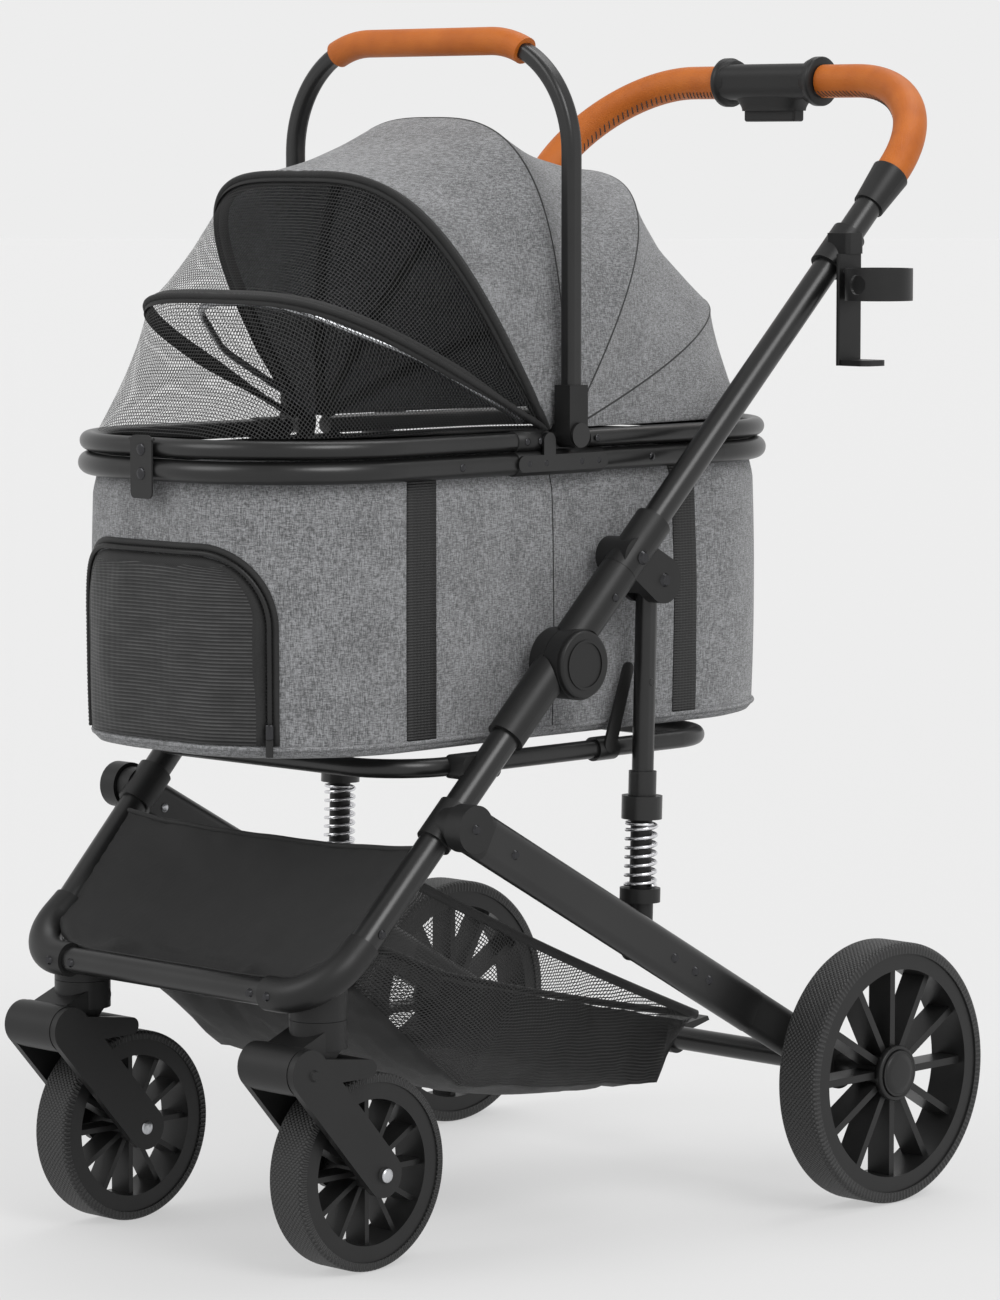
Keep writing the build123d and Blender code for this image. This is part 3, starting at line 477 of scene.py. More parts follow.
def tube_points(path, radius_a, radius_b=None, sides=10, up=Vector((0, 0, 1)), closed=False):
    """Rows of points round a path, for a piping, strap edge or wire."""
    rows = []
    count = len(path)
    for i, point in enumerate(path):
        before = path[(i - 1) % count] if closed or i else path[0]
        after = path[(i + 1) % count] if closed or i < count - 1 else path[-1]
        tangent = (after - before).normalized()
        side = tangent.cross(up).normalized()
        top = side.cross(tangent).normalized()
        rows.append(ring(point, side, top, radius_a, radius_b or radius_a, sides))
    if closed:
        rows.append(rows[0])
    return rows


def tube_piece(name, path, radius_a, radius_b=None, sides=10, up=Vector((0, 0, 1)), closed=False):
    rows = tube_points(path, radius_a, radius_b, sides, up, closed)
    piece = grid_piece(name, rows, closed=True)
    if not closed:
        cap_ends(piece)
    return piece


def cap_ends(piece):
    shape = bmesh.new()
    shape.from_mesh(piece.data)
    edges = [e for e in shape.edges if e.is_boundary]
    bmesh.ops.holes_fill(shape, edges=edges, sides=0)
    bmesh.ops.recalc_face_normals(shape, faces=shape.faces)
    shape.to_mesh(piece.data)
    shape.free()


def strip(name, rows, thickness, body, material="binding"):
    """A tape or strap of a thickness through rows of points."""
    piece = grid_piece(name, rows)
    thicken(piece, thickness, 0.0)
    return finish_piece(piece, body, material)


def toothed(name, path, radius, sides, low, high):
    """A round zip whose thickness steps between low and high shares with its teeth."""
    rows = tube_points(path, radius, sides=sides)
    for r, (centre, row) in enumerate(zip(path, rows)):
        rows[r] = [centre + (p - centre) * (high if r % 2 else low) for p in row]
    piece = grid_piece(name, rows, closed=True)
    cap_ends(piece)
    return piece


def run_cloth(piece, cloth, frames):
    """Steps a cloth simulation and applies its result."""
    cloth.point_cache.frame_start = 1
    cloth.point_cache.frame_end = frames
    for frame_number in range(1, frames + 1):
        bpy.context.scene.frame_set(frame_number)
    apply_modifiers(piece)
    bpy.context.scene.frame_set(1)


def smooth_steps(value):
    return value * value * (3 - 2 * value)


def rim_path(half_length, half_width, corner, steps=18):
    """A closed rounded oblong round the carrier's middle."""
    points = []
    for sx, sy, start in ((1, -1, -90), (1, 1, 0), (-1, 1, 90), (-1, -1, 180)):
        centre = Vector((sx * (half_width - corner), MID_Y + sy * (half_length - corner), 0))
        for k in range(steps + 1):
            turn = math.radians(start + 90 * k / steps)
            points.append(centre + Vector((math.cos(turn), math.sin(turn), 0)) * corner)
    return points


def dense(path, spacing, closed=True):
    """Adds points so that a path has no gap wider than spacing."""
    out = []
    pairs = list(zip(path, path[1:] + path[:1])) if closed else list(zip(path, path[1:]))
    for a, b in pairs:
        count = max(1, int((b - a).length / spacing))
        out += [a.lerp(b, k / count) for k in range(count)]
    return out if closed else out + [path[-1]]


# ---------------------------------------------------------------- hood

def bow_point(name, t):
    """A point on a bow; t runs from 0 at the left foot to 1 at the right foot."""
    angle, length, power, foot = BOWS[name]
    turn = math.pi * t
    c, s = math.cos(turn), max(math.sin(turn), 0.0)
    x = HOOD_HALF * math.copysign(abs(c) ** (2 / power), c)
    reach = length * s ** (2 / power)
    lean = math.radians(angle)
    return Vector((x, foot - reach * math.cos(lean), HOOD_BASE + reach * math.sin(lean)))


def bow_path(name, steps, grow):
    """Points along a bow, pushed outward from the hood's middle by grow."""
    points = [bow_point(name, i / steps) for i in range(steps + 1)]
    middle = Vector((0, MID_Y, HOOD_BASE + 0.02))
    return [p + (p - middle).normalized() * grow for p in points]


def fan(low, high, rows, sag, columns=120):
    """Cloth stretched between two bows, drawn inward a little between them."""
    grid = []
    for r in range(rows + 1):
        u = r / rows
        line = []
        for c in range(columns + 1):
            t = c / columns
            point = bow_point(low, t).lerp(bow_point(high, t), u)
            side = math.sin(math.pi * t) ** 0.6
            depth = sag * 4 * u * (1 - u) * side
            ripple = 0.0012 * noise.noise(point * 24.0) * 4 * u * (1 - u)
            line.append(point + (HOOD_MIDDLE - point).normalized() * (depth + ripple))
        grid.append(line)
    return grid


def make_hood():
    """The fabric hood: one cloth over the zip, crest and rear bows down to the rear rim."""
    order = ["zip", "crest", "rear_crest", "rear", "rear_rim"]
    sags = [0.006, 0.010, 0.009, 0.004]
    rows = []
    for (low, high), sag in zip(zip(order, order[1:]), sags):
        part = fan(low, high, 14, sag)
        rows += part[1:] if rows else part
    hood = grid_piece("hood_cloth", rows)
    thicken(hood, 0.0014)
    finish_piece(hood, "carrier", "heather", ["canopy_hood"])


def make_hood_net():
    """The net front: two fans of net from the zip bow to the rim that swings up."""
    rows = fan("zip", "mid", 16, 0.005) + fan("mid", "front_rim", 20, 0.006)[1:]
    net = grid_piece("hood_net", rows)
    finish_piece(net, None, "net", ["canopy_mesh"])
    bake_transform(net)


def make_bow_tapes():
    """Zips on the zip bow and the mid bow, and binding tapes beside them."""
    for bow, body, radius in (("zip", "carrier", 0.0032), ("mid", "mid_bow", 0.0028)):
        coil = toothed(f"{bow}_bow_coil", bow_path(bow, 420, 0.0015), radius, 10, 0.94, 1.16)
        finish_piece(coil, body, "binding")
    for name, bow, toward, body, gap in (
        ("zip_tape_rear", "zip", "crest", "carrier", 0.16),
        ("zip_tape_front", "zip", "mid", "carrier", 0.16),
        ("mid_tape_front", "mid", "front_rim", "mid_bow", 0.12),
        ("mid_tape_rear", "mid", "zip", "mid_bow", 0.12),
    ):
        band = [[], []]
        for c in range(161):
            t = c / 160
            a, b = bow_point(bow, t), bow_point(toward, t)
            outward = (a - HOOD_MIDDLE).normalized()
            reach = min(0.007, (b - a).length * gap)
            step = (b - a).normalized() * reach if (b - a).length > 1e-5 else Vector()
            band[0].append(a + outward * 0.0013)
            band[1].append(a + step + outward * 0.0009)
        strip(name, band, 0.0006, body)


def make_hood_seams():
    """Narrow raised seams where the hood's cloth is sewn over its rear bows."""
    for bow in ("crest", "rear_crest", "rear"):
        seam = tube_piece(f"{bow}_seam", bow_path(bow, 160, 0.0004), 0.0016, 0.0011, sides=8)
        # The seams take the dark thread: painted shade of the seam folds in the grey cloth.
        finish_piece(seam, "carrier", "thread")


def make_bow_wires():
    """The bows themselves, seen from inside through the net."""
    for bow in ("zip", "crest", "rear_crest", "rear"):
        wire = tube_piece(f"{bow}_bow_sleeve", bow_path(bow, 120, -0.0055), 0.0042)
        replaced = ["canopy_bows"] if bow == "zip" else []
        finish_piece(wire, "carrier", "binding", replaced=replaced)


# ---------------------------------------------------------------- bag

def bag_outline(grow=0.0):
    return dense(rim_path(BAG_HALF_LENGTH + grow, BAG_HALF_WIDTH + grow, BAG_CORNER), 0.009)


def bag_ripple(point, depth):
    """Soft pulls in the cloth, stronger near the hem than at the taut rim."""
    tall = noise.noise(Vector((point.x * 9, point.y * 9, point.z * 3)))
    fine = noise.noise(Vector((point.x * 30, point.y * 30, point.z * 14)))
    return (tall * 0.0022 + fine * 0.0007) * depth


def wall_point(base, z):
    """A point of the bag's wall above an outline point, at a height."""
    u = (BAG_TOP - z) / (BAG_TOP - BAG_FLOOR)
    outward = Vector((base.x, base.y - MID_Y, 0)).normalized()
    swell = 0.0025 * math.sin(math.pi * min(u, 1.0)) + 0.0015 * u
    tuck = -0.004 * max(0.0, 1 - u * 12)
    point = Vector((base.x, base.y, z)) + outward * (swell + tuck)
    return point + outward * bag_ripple(point - Vector((0, MID_Y, 0)), 0.4 + 0.6 * u)


def make_bag():
    """The bag's outer cloth from the rim to the floor, closed by its base."""
    outline = bag_outline()
    heights = [BAG_TOP - (BAG_TOP - BAG_FLOOR) * k / 44 for k in range(45)]
    rows = [[wall_point(p, z) for p in outline] for z in heights]
    for inset, drop in ((0.003, 0.003), (0.010, 0.0045), (0.06, 0.005), (0.12, 0.005)):
        last = []
        for p in outline:
            inward = Vector((-p.x, MID_Y - p.y, 0)).normalized()
            near = wall_point(p, BAG_FLOOR) + inward * inset
            last.append(Vector((near.x, near.y, BAG_FLOOR - drop)))
        rows.append(last)
    bag = grid_piece("bag_cloth", rows, closed=True)
    cap_ends_low(bag)
    thicken(bag, 0.0016, 0.0)
    finish_piece(bag, "carrier", "heather", ["bag"])


def cap_ends_low(piece):
    """Closes only the lowest open edge, which is the bag's base."""
    shape = bmesh.new()
    shape.from_mesh(piece.data)
    low = [e for e in shape.edges if e.is_boundary and max(v.co.z for v in e.verts) < BAG_LOW.z + 0.05]
    bmesh.ops.contextual_create(shape, geom=low)
    shape.to_mesh(piece.data)
    shape.free()


def inflate(piece, voxel, frames, cap):
    """Swells a pad like a filled one, with no point moving further than the cap."""
    remesh = piece.modifiers.new("voxels", "REMESH")
    remesh.mode = "VOXEL"
    remesh.voxel_size = voxel
    apply_modifiers(piece)
    before = [v.co.copy() for v in piece.data.vertices]
    cloth = piece.modifiers.new("cloth", "CLOTH")
    cloth.settings.use_pressure = True
    cloth.settings.uniform_pressure_force = 4.0
    cloth.settings.effector_weights.gravity = 0.0
    cloth.settings.quality = 5
    run_cloth(piece, cloth, frames)
    for vertex, start in zip(piece.data.vertices, before):
        moved = vertex.co - start
        if moved.length > cap:
            vertex.co = start + moved.normalized() * cap


def make_bag_floor_pad():
    """The padded board on the floor of the bag."""
    gap = 0.012
    path = dense(rim_path(BAG_HALF_LENGTH - gap, BAG_HALF_WIDTH - gap, BAG_CORNER - gap), 0.014)
    base = BAG_FLOOR + 0.003
    rings = [(1.0, 0.0), (1.0, 0.006), (0.985, 0.011), (0.93, 0.0135), (0.6, 0.015), (0.25, 0.0155)]
    rows = [[Vector((p.x * s, MID_Y + (p.y - MID_Y) * s, base + rise)) for p in path] for s, rise in rings]
    pad = grid_piece("floor_pad", rows, closed=True)
    cap_ends(pad)
    inflate(pad, 0.007, 16, 0.006)
    # The pad takes the darker heather copy: painted shade of the bag's inside.
    finish_piece(pad, "carrier", "shaded_heather")


def make_bag_trim():
    """Hem piping round the floor, vertical seams and webbing straps on both sides."""
    hem = [wall_point(p, BAG_FLOOR + 0.003) for p in bag_outline(0.001)]
    piping = tube_piece("bag_hem_piping", hem, 0.0021, sides=8, closed=True)
    finish_piece(piping, "carrier", "heather")
    side = BAG_HALF_WIDTH
    for label, sign in SIDES:
        for where, y, wide in (("front", -0.231, 0.0165), ("rear", 0.085, 0.0140)):
            rows = []
            for k in range(41):
                z = BAG_TOP - (BAG_TOP - BAG_FLOOR - 0.002) * k / 40
                row = []
                for w in (-wide, -wide * 0.97, -wide / 2, 0, wide / 2, wide * 0.97, wide):
                    base = wall_point(Vector((side, y + w, 0)), z)
                    lift = 0.0004 if abs(w) > wide * 0.98 else 0.0017
                    row.append(Vector((sign * (base.x + lift), base.y, base.z)))
                rows.append(row if sign > 0 else row[::-1])
            strip(f"bag_strap_{where}_{label}", rows, 0.0008, "carrier", "webbing")
        rows = [wall_point(Vector((side, -0.077, 0)), BAG_TOP - (BAG_TOP - BAG_FLOOR) * k / 40) for k in range(41)]
        line = [Vector((sign * (p.x + 0.0004), p.y, p.z)) for p in rows]
        seam = tube_piece(f"bag_side_seam_{label}", line, 0.0008, sides=6, up=Vector((0, 1, 0)))
        finish_piece(seam, "carrier", "binding")


# ---------------------------------------------------------------- front door

DOOR_HALF, DOOR_TOP, DOOR_CORNER = 0.117, 0.594, 0.062
# How far the net's edge lies inside the door's outline.
DOOR_MARGIN = 0.004
# The flat part of the bag's front, each way from the middle.
FRONT_FLAT = BAG_HALF_WIDTH - BAG_CORNER
FRONT_Y = MID_Y - BAG_HALF_LENGTH


def front_arc(s):
    """A point on the bag's outline, a distance along it from the front middle."""
    if abs(s) < FRONT_FLAT:
        return Vector((s, FRONT_Y, 0))
    turn = min((abs(s) - FRONT_FLAT) / BAG_CORNER, math.pi / 2)
    x = FRONT_FLAT + BAG_CORNER * math.sin(turn)
    return Vector((math.copysign(x, s), FRONT_Y + BAG_CORNER - BAG_CORNER * math.cos(turn), 0))


def door_line(inset, steps=14):
    """(distance, height) along the door's edge, up one side, over the top and down."""
    half, top, corner = DOOR_HALF - inset, DOOR_TOP - inset, DOOR_CORNER - inset
    low = BAG_FLOOR + 0.006
    straight = top - corner - low
    line = [(-half, low + straight * k / 10) for k in range(10)]
    for middle, start in ((corner - half, 180), (half - corner, 90)):
        for k in range(steps + 1):
            turn = math.radians(start - 90 * k / steps)
            line.append((middle + corner * math.cos(turn), top - corner + corner * math.sin(turn)))
        if middle < 0:
            line += [(middle - 2 * middle * k / 8, top) for k in range(1, 8)]
    return line + [(half, low + straight * (9 - k) / 10) for k in range(10)]


def on_door(s, z, lift):
    """A point a little off the bag's wall, straight out from it."""
    base = wall_point(front_arc(s), z)
    if abs(s) < FRONT_FLAT:
        outward = Vector((0, -1, 0))
    else:
        outward = Vector((base.x - math.copysign(FRONT_FLAT, s), base.y - FRONT_Y - BAG_CORNER, 0))
    return base + outward.normalized() * lift


def door_puff(u, v):
    """How far the door's soft net stands off the bag, with a few loose upright folds."""
    edge = min(u, 1 - u, v + 0.04, 1 - v) * 8
    fold = noise.noise(Vector((u * 7, v * 2.2, 3.0))) * 0.0028
    return 0.0016 + min(max(edge, 0.0), 1.0) * max(0.0, 0.0012 + fold)


def make_door():
    """The net door in the bag's front: net, wide binding, zip and puller."""
    rows = []
    low = BAG_FLOOR + 0.006
    reach = DOOR_CORNER - DOOR_MARGIN
    for k in range(25):
        z = low + (DOOR_TOP - DOOR_MARGIN - low) * k / 24
        half = DOOR_HALF - DOOR_MARGIN
        over = z - (DOOR_TOP - DOOR_CORNER)
        if over > 0:
            half = half - reach + math.sqrt(max(reach * reach - over * over, 0.0))
        rows.append([on_door(-half + 2 * half * c / 48, z, door_puff(c / 48, k / 24)) for c in range(49)])
    net = grid_piece("door_net", rows)
    thicken(net, 0.0006, 0.0)
    finish_piece(net, "carrier", "door_net")
    tapes = (("door_binding", 0.010, 0.0105, 0.0026), ("door_zip_tape", -0.003, 0.006, 0.0020))
    for name, inset, width, lift in tapes:
        outer, inside = door_line(inset - width / 2), door_line(inset + width / 2)
        band = [[], [], []]
        for (s0, z0), (s1, z1) in zip(outer, inside):
            band[0].append(on_door(s0, z0, lift * 0.6))
            band[1].append(on_door((s0 + s1) / 2, (z0 + z1) / 2, lift))
            band[2].append(on_door(s1, z1, lift * 0.6))
        strip(name, band, 0.0008, "carrier")
    path = dense([on_door(s, z, 0.0032) for s, z in door_line(0.0015)], 0.0016, closed=False)
    coil = toothed("door_zip_coil", path, 0.0021, 8, 0.92, 1.18)
    finish_piece(coil, "carrier", "plastic")
    make_puller(on_door(DOOR_HALF - 0.0015, BAG_FLOOR + 0.018, 0.006))


def make_puller(spot):
    """The zip's slider and its hanging tab."""
    outward = Vector((0.5, -0.85, 0))
    path = [spot + Vector((0, 0, -0.002 - 0.0011 * k)) for k in range(18)]
    tab = tube_piece("door_zip_puller", path, 0.0032, 0.0014, sides=12, up=outward)
    finish_piece(tab, "carrier", "binding")
    path = [spot + Vector((0, 0, 0.006 - 0.001 * k)) for k in range(13)]
    slider = tube_piece("door_zip_slider", path, 0.0036, 0.0026, sides=12, up=outward)
    finish_piece(slider, "carrier", "rivet")


# ---------------------------------------------------------------- soft lower panels

def rail_at(z):
    """The left side rail's axis at a height."""
    rise = z - 0.330
    return Vector((0.1845 + 0.0477 * rise, -0.2689 + 0.9932 * rise, z))


# How much longer each way the cut cloth is than the frame it is pinned to.
PANEL_SLACK = 0.006
BASKET_SLACK = 0.012


def settle(piece, pinned, slack, frames, stiffness=6.0):
    """Lets a cloth hang from its pinned points, a little larger than its frame."""
    group = piece.vertex_groups.new(name="pinned")
    group.add(pinned, 1.0, "REPLACE")
    cloth = piece.modifiers.new("cloth", "CLOTH")
    settings = {
        "vertex_group_mass": "pinned", "shrink_min": -slack, "mass": 0.05, "quality": 6,
        "tension_stiffness": stiffness, "compression_stiffness": stiffness, "shear_stiffness": stiffness / 2,
        "bending_stiffness": 0.02, "air_damping": 4.0,
    }
    for key, value in settings.items():
        setattr(cloth.settings, key, value)
    cloth.collision_settings.use_collision = False
    run_cloth(piece, cloth, frames)
    piece.vertex_groups.clear()


def boundary(piece):
    shape = bmesh.new()
    shape.from_mesh(piece.data)
    found = [v.index for v in shape.verts if v.is_boundary]
    shape.free()
    return found


def make_foot_panel():
    """Black cloth stretched between the lower tubes, down and over the cross bar."""
    # Heights down the rails, and how far the cloth swells forward there.
    profile = [
        (0.3450, 0.0), (0.3400, 0.004), (0.3220, 0.008), (0.3000, 0.012), (0.2780, 0.0135), (0.2620, 0.012),
    ]
    rows = []
    for z, swell in smooth_profile(profile, 26):
        edge = rail_at(z)
        half = edge.x - 0.004
        row = []
        for c in range(41):
            u = 2 * c / 40 - 1
            crown = 1 - abs(u) ** 3
            crease = 0.0035 * crown * noise.noise(Vector((u * 3.4 + z * 9, z * 26, 1.0)))
            out = 0.006 + 1.25 * swell * crown + crease
            dip = 0.007 * crown * max(0.0, (z - 0.318) / 0.027)
            row.append(Vector((half * u, edge.y - out * 0.7 - 0.002, z + out * 0.7 - dip)))
        rows.append(row)
    bend = rows[-1]
    for k in range(1, 13):
        turn = k / 12
        row = []
        for c, top in enumerate(bend):
            u = 2 * c / 40 - 1
            lip = Vector((0.172 * u, -0.369 + 0.030 * abs(u) ** 6, 0.2475 + 0.008 * abs(u) ** 6))
            bulge = Vector((0, -0.012, 0.006)) * math.sin(math.pi * turn) * (1 - abs(u) ** 4)
            row.append(top.lerp(lip, smooth_steps(turn)) + bulge)
        rows.append(row)
    panel = grid_piece("foot_panel_cloth", rows)
    settle(panel, boundary(panel), PANEL_SLACK, 30)
    thicken(panel, 0.0016, 0.0)
    finish_piece(panel, "chassis", "panel", ["foot_panel"])
    hem = tube_piece("foot_panel_hem", rows[0], 0.0024, sides=8)
    finish_piece(hem, "chassis", "binding")


def smooth_profile(points, count):
    """Evenly spaced values along a profile given by a few of its values."""
    out = []
    for k in range(count):
        at = k / (count - 1) * (len(points) - 1)
        i = min(int(at), len(points) - 2)
        f = smooth_steps(at - i) if i in (0, len(points) - 2) else at - i
        out.append(tuple(a + (b - a) * f for a, b in zip(points[i], points[i + 1])))
    return out


def make_basket():
    """The hanging basket: net sides with a cloth front, floor and back, and a bound rim."""
    # (y, z) of the cloth along the middle, from its front edge round under to its rear edge.
    path = [(-0.258, 0.317), (-0.300, 0.236), (-0.180, 0.136), (0.066, 0.108), (0.098, 0.160)]
    belt = dense([Vector((0, y, z)) for y, z in path], 0.011, closed=False)
    rim_start, rim_end = Vector((0, -0.255, 0.323)), Vector((0, 0.105, 0.165))
    side_steps, floor_steps = 12, 26
    half, taper, last = 0.158, 0.010, len(belt) - 1
    rows = []
    for i, low in enumerate(belt):
        rim = rim_start.lerp(rim_end, i / last)
        row = []
        for w in range(side_steps):
            point = rim.lerp(low, w / side_steps)
            tuck = taper * (w / side_steps) ** 2
            row.append(Vector((half - tuck, point.y, point.z)))
        for w in range(floor_steps + 1):
            x = (half - taper) * (1 - 2 * w / floor_steps)
            row.append(Vector((x, low.y, low.z)))
        for w in range(side_steps):
            point = low.lerp(rim, (w + 1) / side_steps)
            tuck = taper * (1 - (w + 1) / side_steps) ** 2
            row.append(Vector((-half + tuck, point.y, point.z)))
        rows.append(row)
    basket = grid_piece("basket_cloth", rows)
    count = len(rows[0])
    for v in basket.data.vertices:
        v.co.x += 0.002 * noise.noise(v.co * 22)
        v.co.z += 0.002 * noise.noise(v.co * 31 + Vector((5, 0, 0)))
    creases = [min(range(last), key=lambda i: (belt[i] - Vector((0, y, z))).length) for y, z in path[1:4]]
    stiff = [r * count + c for r in creases for c in range(side_steps, side_steps + floor_steps + 1, 2)]
    seams = [r * count + c for r in range(1, last, 2) for c in (side_steps, side_steps + floor_steps)]
    settle(basket, boundary(basket) + stiff + seams, BASKET_SLACK, 40, 5.0)
    columns = [p.vertices[0] % count for p in basket.data.polygons]
    faces = [int(min(c, count - 1 - c) < side_steps) for c in columns]
    finish_piece(basket, "chassis", "black", ["basket"])
    basket.data.materials.append(MATERIALS["basket_net"])
    basket.data.polygons.foreach_set("material_index", faces)
    for label, sign in SIDES:
        line = []
        for k in range(41):
            drop = -0.004 * math.sin(math.pi * k / 40)
            line.append(rim_start.lerp(rim_end, k / 40) + Vector((sign * half, 0, drop)))
        binding = tube_piece(f"basket_rim_{label}", line, 0.0030, 0.0042, sides=10)
        finish_piece(binding, "chassis", "binding")
    for label, spot in (("front", rim_start), ("rear", rim_end)):
        line = [spot + Vector((half * (1 - k / 10), 0, -0.003 * math.sin(math.pi * k / 20))) for k in range(21)]
        binding = tube_piece(f"basket_rim_{label}", line, 0.0032, sides=10)
        finish_piece(binding, "chassis", "binding")


# ---------------------------------------------------------------- handle details

HANDLE_Z, HANDLE_BEND = 0.983, 0.112


def grip_path():
    """The left grip's axis: up the rail, round the bend and in along the bar."""
    foot, corner = rail_at(0.899), rail_at(HANDLE_Z)
    up, inward = (corner - foot).normalized(), Vector((-1, 0, 0))
    turn = up.angle(inward)
    reach = HANDLE_BEND * math.tan(turn / 2)
    centre = corner + (inward - up).normalized() * (HANDLE_BEND / math.cos(turn / 2))
    first = corner - up * reach - centre
    axis = up.cross(inward).normalized()
    arc = []
    for k in range(31):
        angle = turn * k / 30
        arc.append(centre + first * math.cos(angle) + axis.cross(first) * math.sin(angle))
    return dense([foot] + arc + [Vector((0.061, corner.y, corner.z))], 0.004, closed=False)


def many_tubes(name, lines, radius, sides=6):
    """Many short closed tubes as one piece."""
    points, faces = [], []
    for line in lines:
        rows = tube_points(line, radius, sides=sides)
        base = len(points)
        points += [p for row in rows for p in row]
        faces += quads(len(rows), sides, True, base)
        faces.append(tuple(reversed(range(base, base + sides))))
        faces.append(tuple(range(len(points) - sides, len(points))))
    return mesh_piece(name, points, faces)


def make_grip_stitches():
    """A row of slanted stitches along the underside of each grip."""
    path = grip_path()
    radius, spacing = 0.0153, 0.0034
    under = Vector((0.0, -0.62, -0.78))
    for label, sign in SIDES:
        lines = []
        travelled = 0.0
        for before, here in zip(path, path[1:]):
            travelled += (here - before).length
            if travelled < spacing:
                continue
            travelled = 0.0
            tangent = (here - before).normalized()
            down = (under - tangent * under.dot(tangent)).normalized()
            side = tangent.cross(down)
            line = []
            for k in range(5):
                angle = (k / 4 - 0.5) * 0.52
                spot = here + (down * math.cos(angle) + side * math.sin(angle)) * radius
                line.append(spot + tangent * (k / 4 - 0.5) * 0.0030)
            lines.append([Vector((sign * p.x, p.y, p.z)) for p in line])
        stitches = many_tubes(f"grip_stitches_{label}", lines, 0.00055)
        # The stitches take the dark thread: partly the thread's tone, partly painted shade in the stitch holes.
        finish_piece(stitches, "handle", "thread")


def lathe(name, centre, axis, profile, sides=48):
    """A turned piece: profile is (distance along the axis, radius)."""
    axis = Vector(axis).normalized()
    side = axis.orthogonal().normalized()
    other = axis.cross(side)
    rows = [ring(Vector(centre) + axis * along, side, other, radius, radius, sides) for along, radius in profile]
    piece = grid_piece(name, rows, closed=True)
    cap_ends(piece)
    return piece


def make_console_details():
    """Stepped collars at the console's ends and the funnel that guides the trigger."""
    for label, sign in SIDES:
        spot = Vector((sign * 0.0505, rail_at(HANDLE_Z).y, HANDLE_Z))
        profile = [
            (-0.004, 0.0165), (-0.0035, 0.0205), (0.0015, 0.0212), (0.0020, 0.0226),
            (0.0082, 0.0226), (0.0092, 0.0218), (0.0094, 0.0160),
        ]
        collar = lathe(f"console_collar_{label}", spot, (sign, 0, 0), profile)
        finish_piece(collar, "handle", "plastic")
    rows = []
    mouth_y = rail_at(HANDLE_Z).y
    for k in range(15):
        u = k / 14
        ease = smooth_steps(u)
        wide, deep = 0.046 - 0.0125 * ease, 0.0185 - 0.0065 * ease
        z = HANDLE_Z - 0.004 - 0.0225 * u
        row = []
        for c in range(40):
            cos, sin = math.cos(2 * math.pi * c / 40), math.sin(2 * math.pi * c / 40)
            x = math.copysign(abs(cos) ** 0.45, cos) * wide
            y = math.copysign(abs(sin) ** 0.45, sin) * deep
            row.append(Vector((x, mouth_y + y, z)))
        rows.append(row)
    funnel = grid_piece("console_funnel", rows, closed=True)
    finish_piece(funnel, "handle", "plastic")


# ---------------------------------------------------------------- metal and moulded details

# Heights of the two rims' axes, and how far a rivet's seat stands off a rim's box.
LOWER_RIM_Z, UPPER_RIM_Z = 0.6585, RIM_TOP - 0.008
UPPER_SEAT = UPPER_RIM_HIGH.x + 0.0012
# The posts' axis: how much y changes with z, and the height where y is 0.
POST_LEAN, POST_ZERO, POST_X = 0.02847, 0.240, 0.187


def dome_heads(name, spots, radius, body, material, height=0.4):
    """Low domed rivet heads on a surface; spots are (point, outward direction)."""
    points, faces = [], []
    sides, rings = 20, 5
    for spot, normal in spots:
        normal = Vector(normal).normalized()
        side = normal.orthogonal().normalized()
        other = normal.cross(side)
        base = len(points)
        for r in range(rings + 1):
            bend = math.pi / 2 * r / (rings + 1)
            rise, reach = math.sin(bend) * radius * height, math.cos(bend) * radius
            points += ring(Vector(spot) + normal * rise, side, other, reach, reach, sides)
        points.append(Vector(spot) + normal * radius * height)
        faces += quads(rings + 1, sides, True, base)
        last = base + rings * sides
        faces += [(last + c, last + (c + 1) % sides, last + sides) for c in range(sides)]
        faces.append(tuple(reversed(range(base, base + sides))))
    piece = mesh_piece(name, points, faces)
    return finish_piece(piece, body, material)


def make_hub_caps():
    """Pressed caps and flanges on the rear hubs, and plated bolts on the front axles."""
    for label, sign in SIDES:
        low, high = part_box(f"rear_wheel_{label}")
        middle = (low + high) / 2
        face = high.x if sign > 0 else low.x
        spot = Vector((face - sign * 0.0035, middle.y, middle.z))
        flange = [
            (-0.004, 0.0240), (0.0010, 0.0245), (0.0022, 0.0235), (0.0026, 0.0215), (0.0012, 0.0205),
            (0.0012, 0.0190), (0.0030, 0.0185), (0.0044, 0.0172), (0.0049, 0.0120), (0.0050, 0.0030),
        ]
        cap = lathe(f"rear_hub_cap_{label}", spot, (sign, 0, 0), flange)
        finish_piece(cap, f"rear_wheel_{label}", "wheel")
        low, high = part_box(f"fork_{label}")
        wheel_low, wheel_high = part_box(f"front_wheel_{label}")
        axle = (wheel_low + wheel_high) / 2
        ends = ((high.x - 0.0004, 1), (low.x + 0.0004, -1))
        spots = [((x, axle.y, axle.z), (outward, 0, 0)) for x, outward in ends]
        dome_heads(f"front_axle_bolts_{label}", spots, 0.0062, f"fork_{label}", "steel")


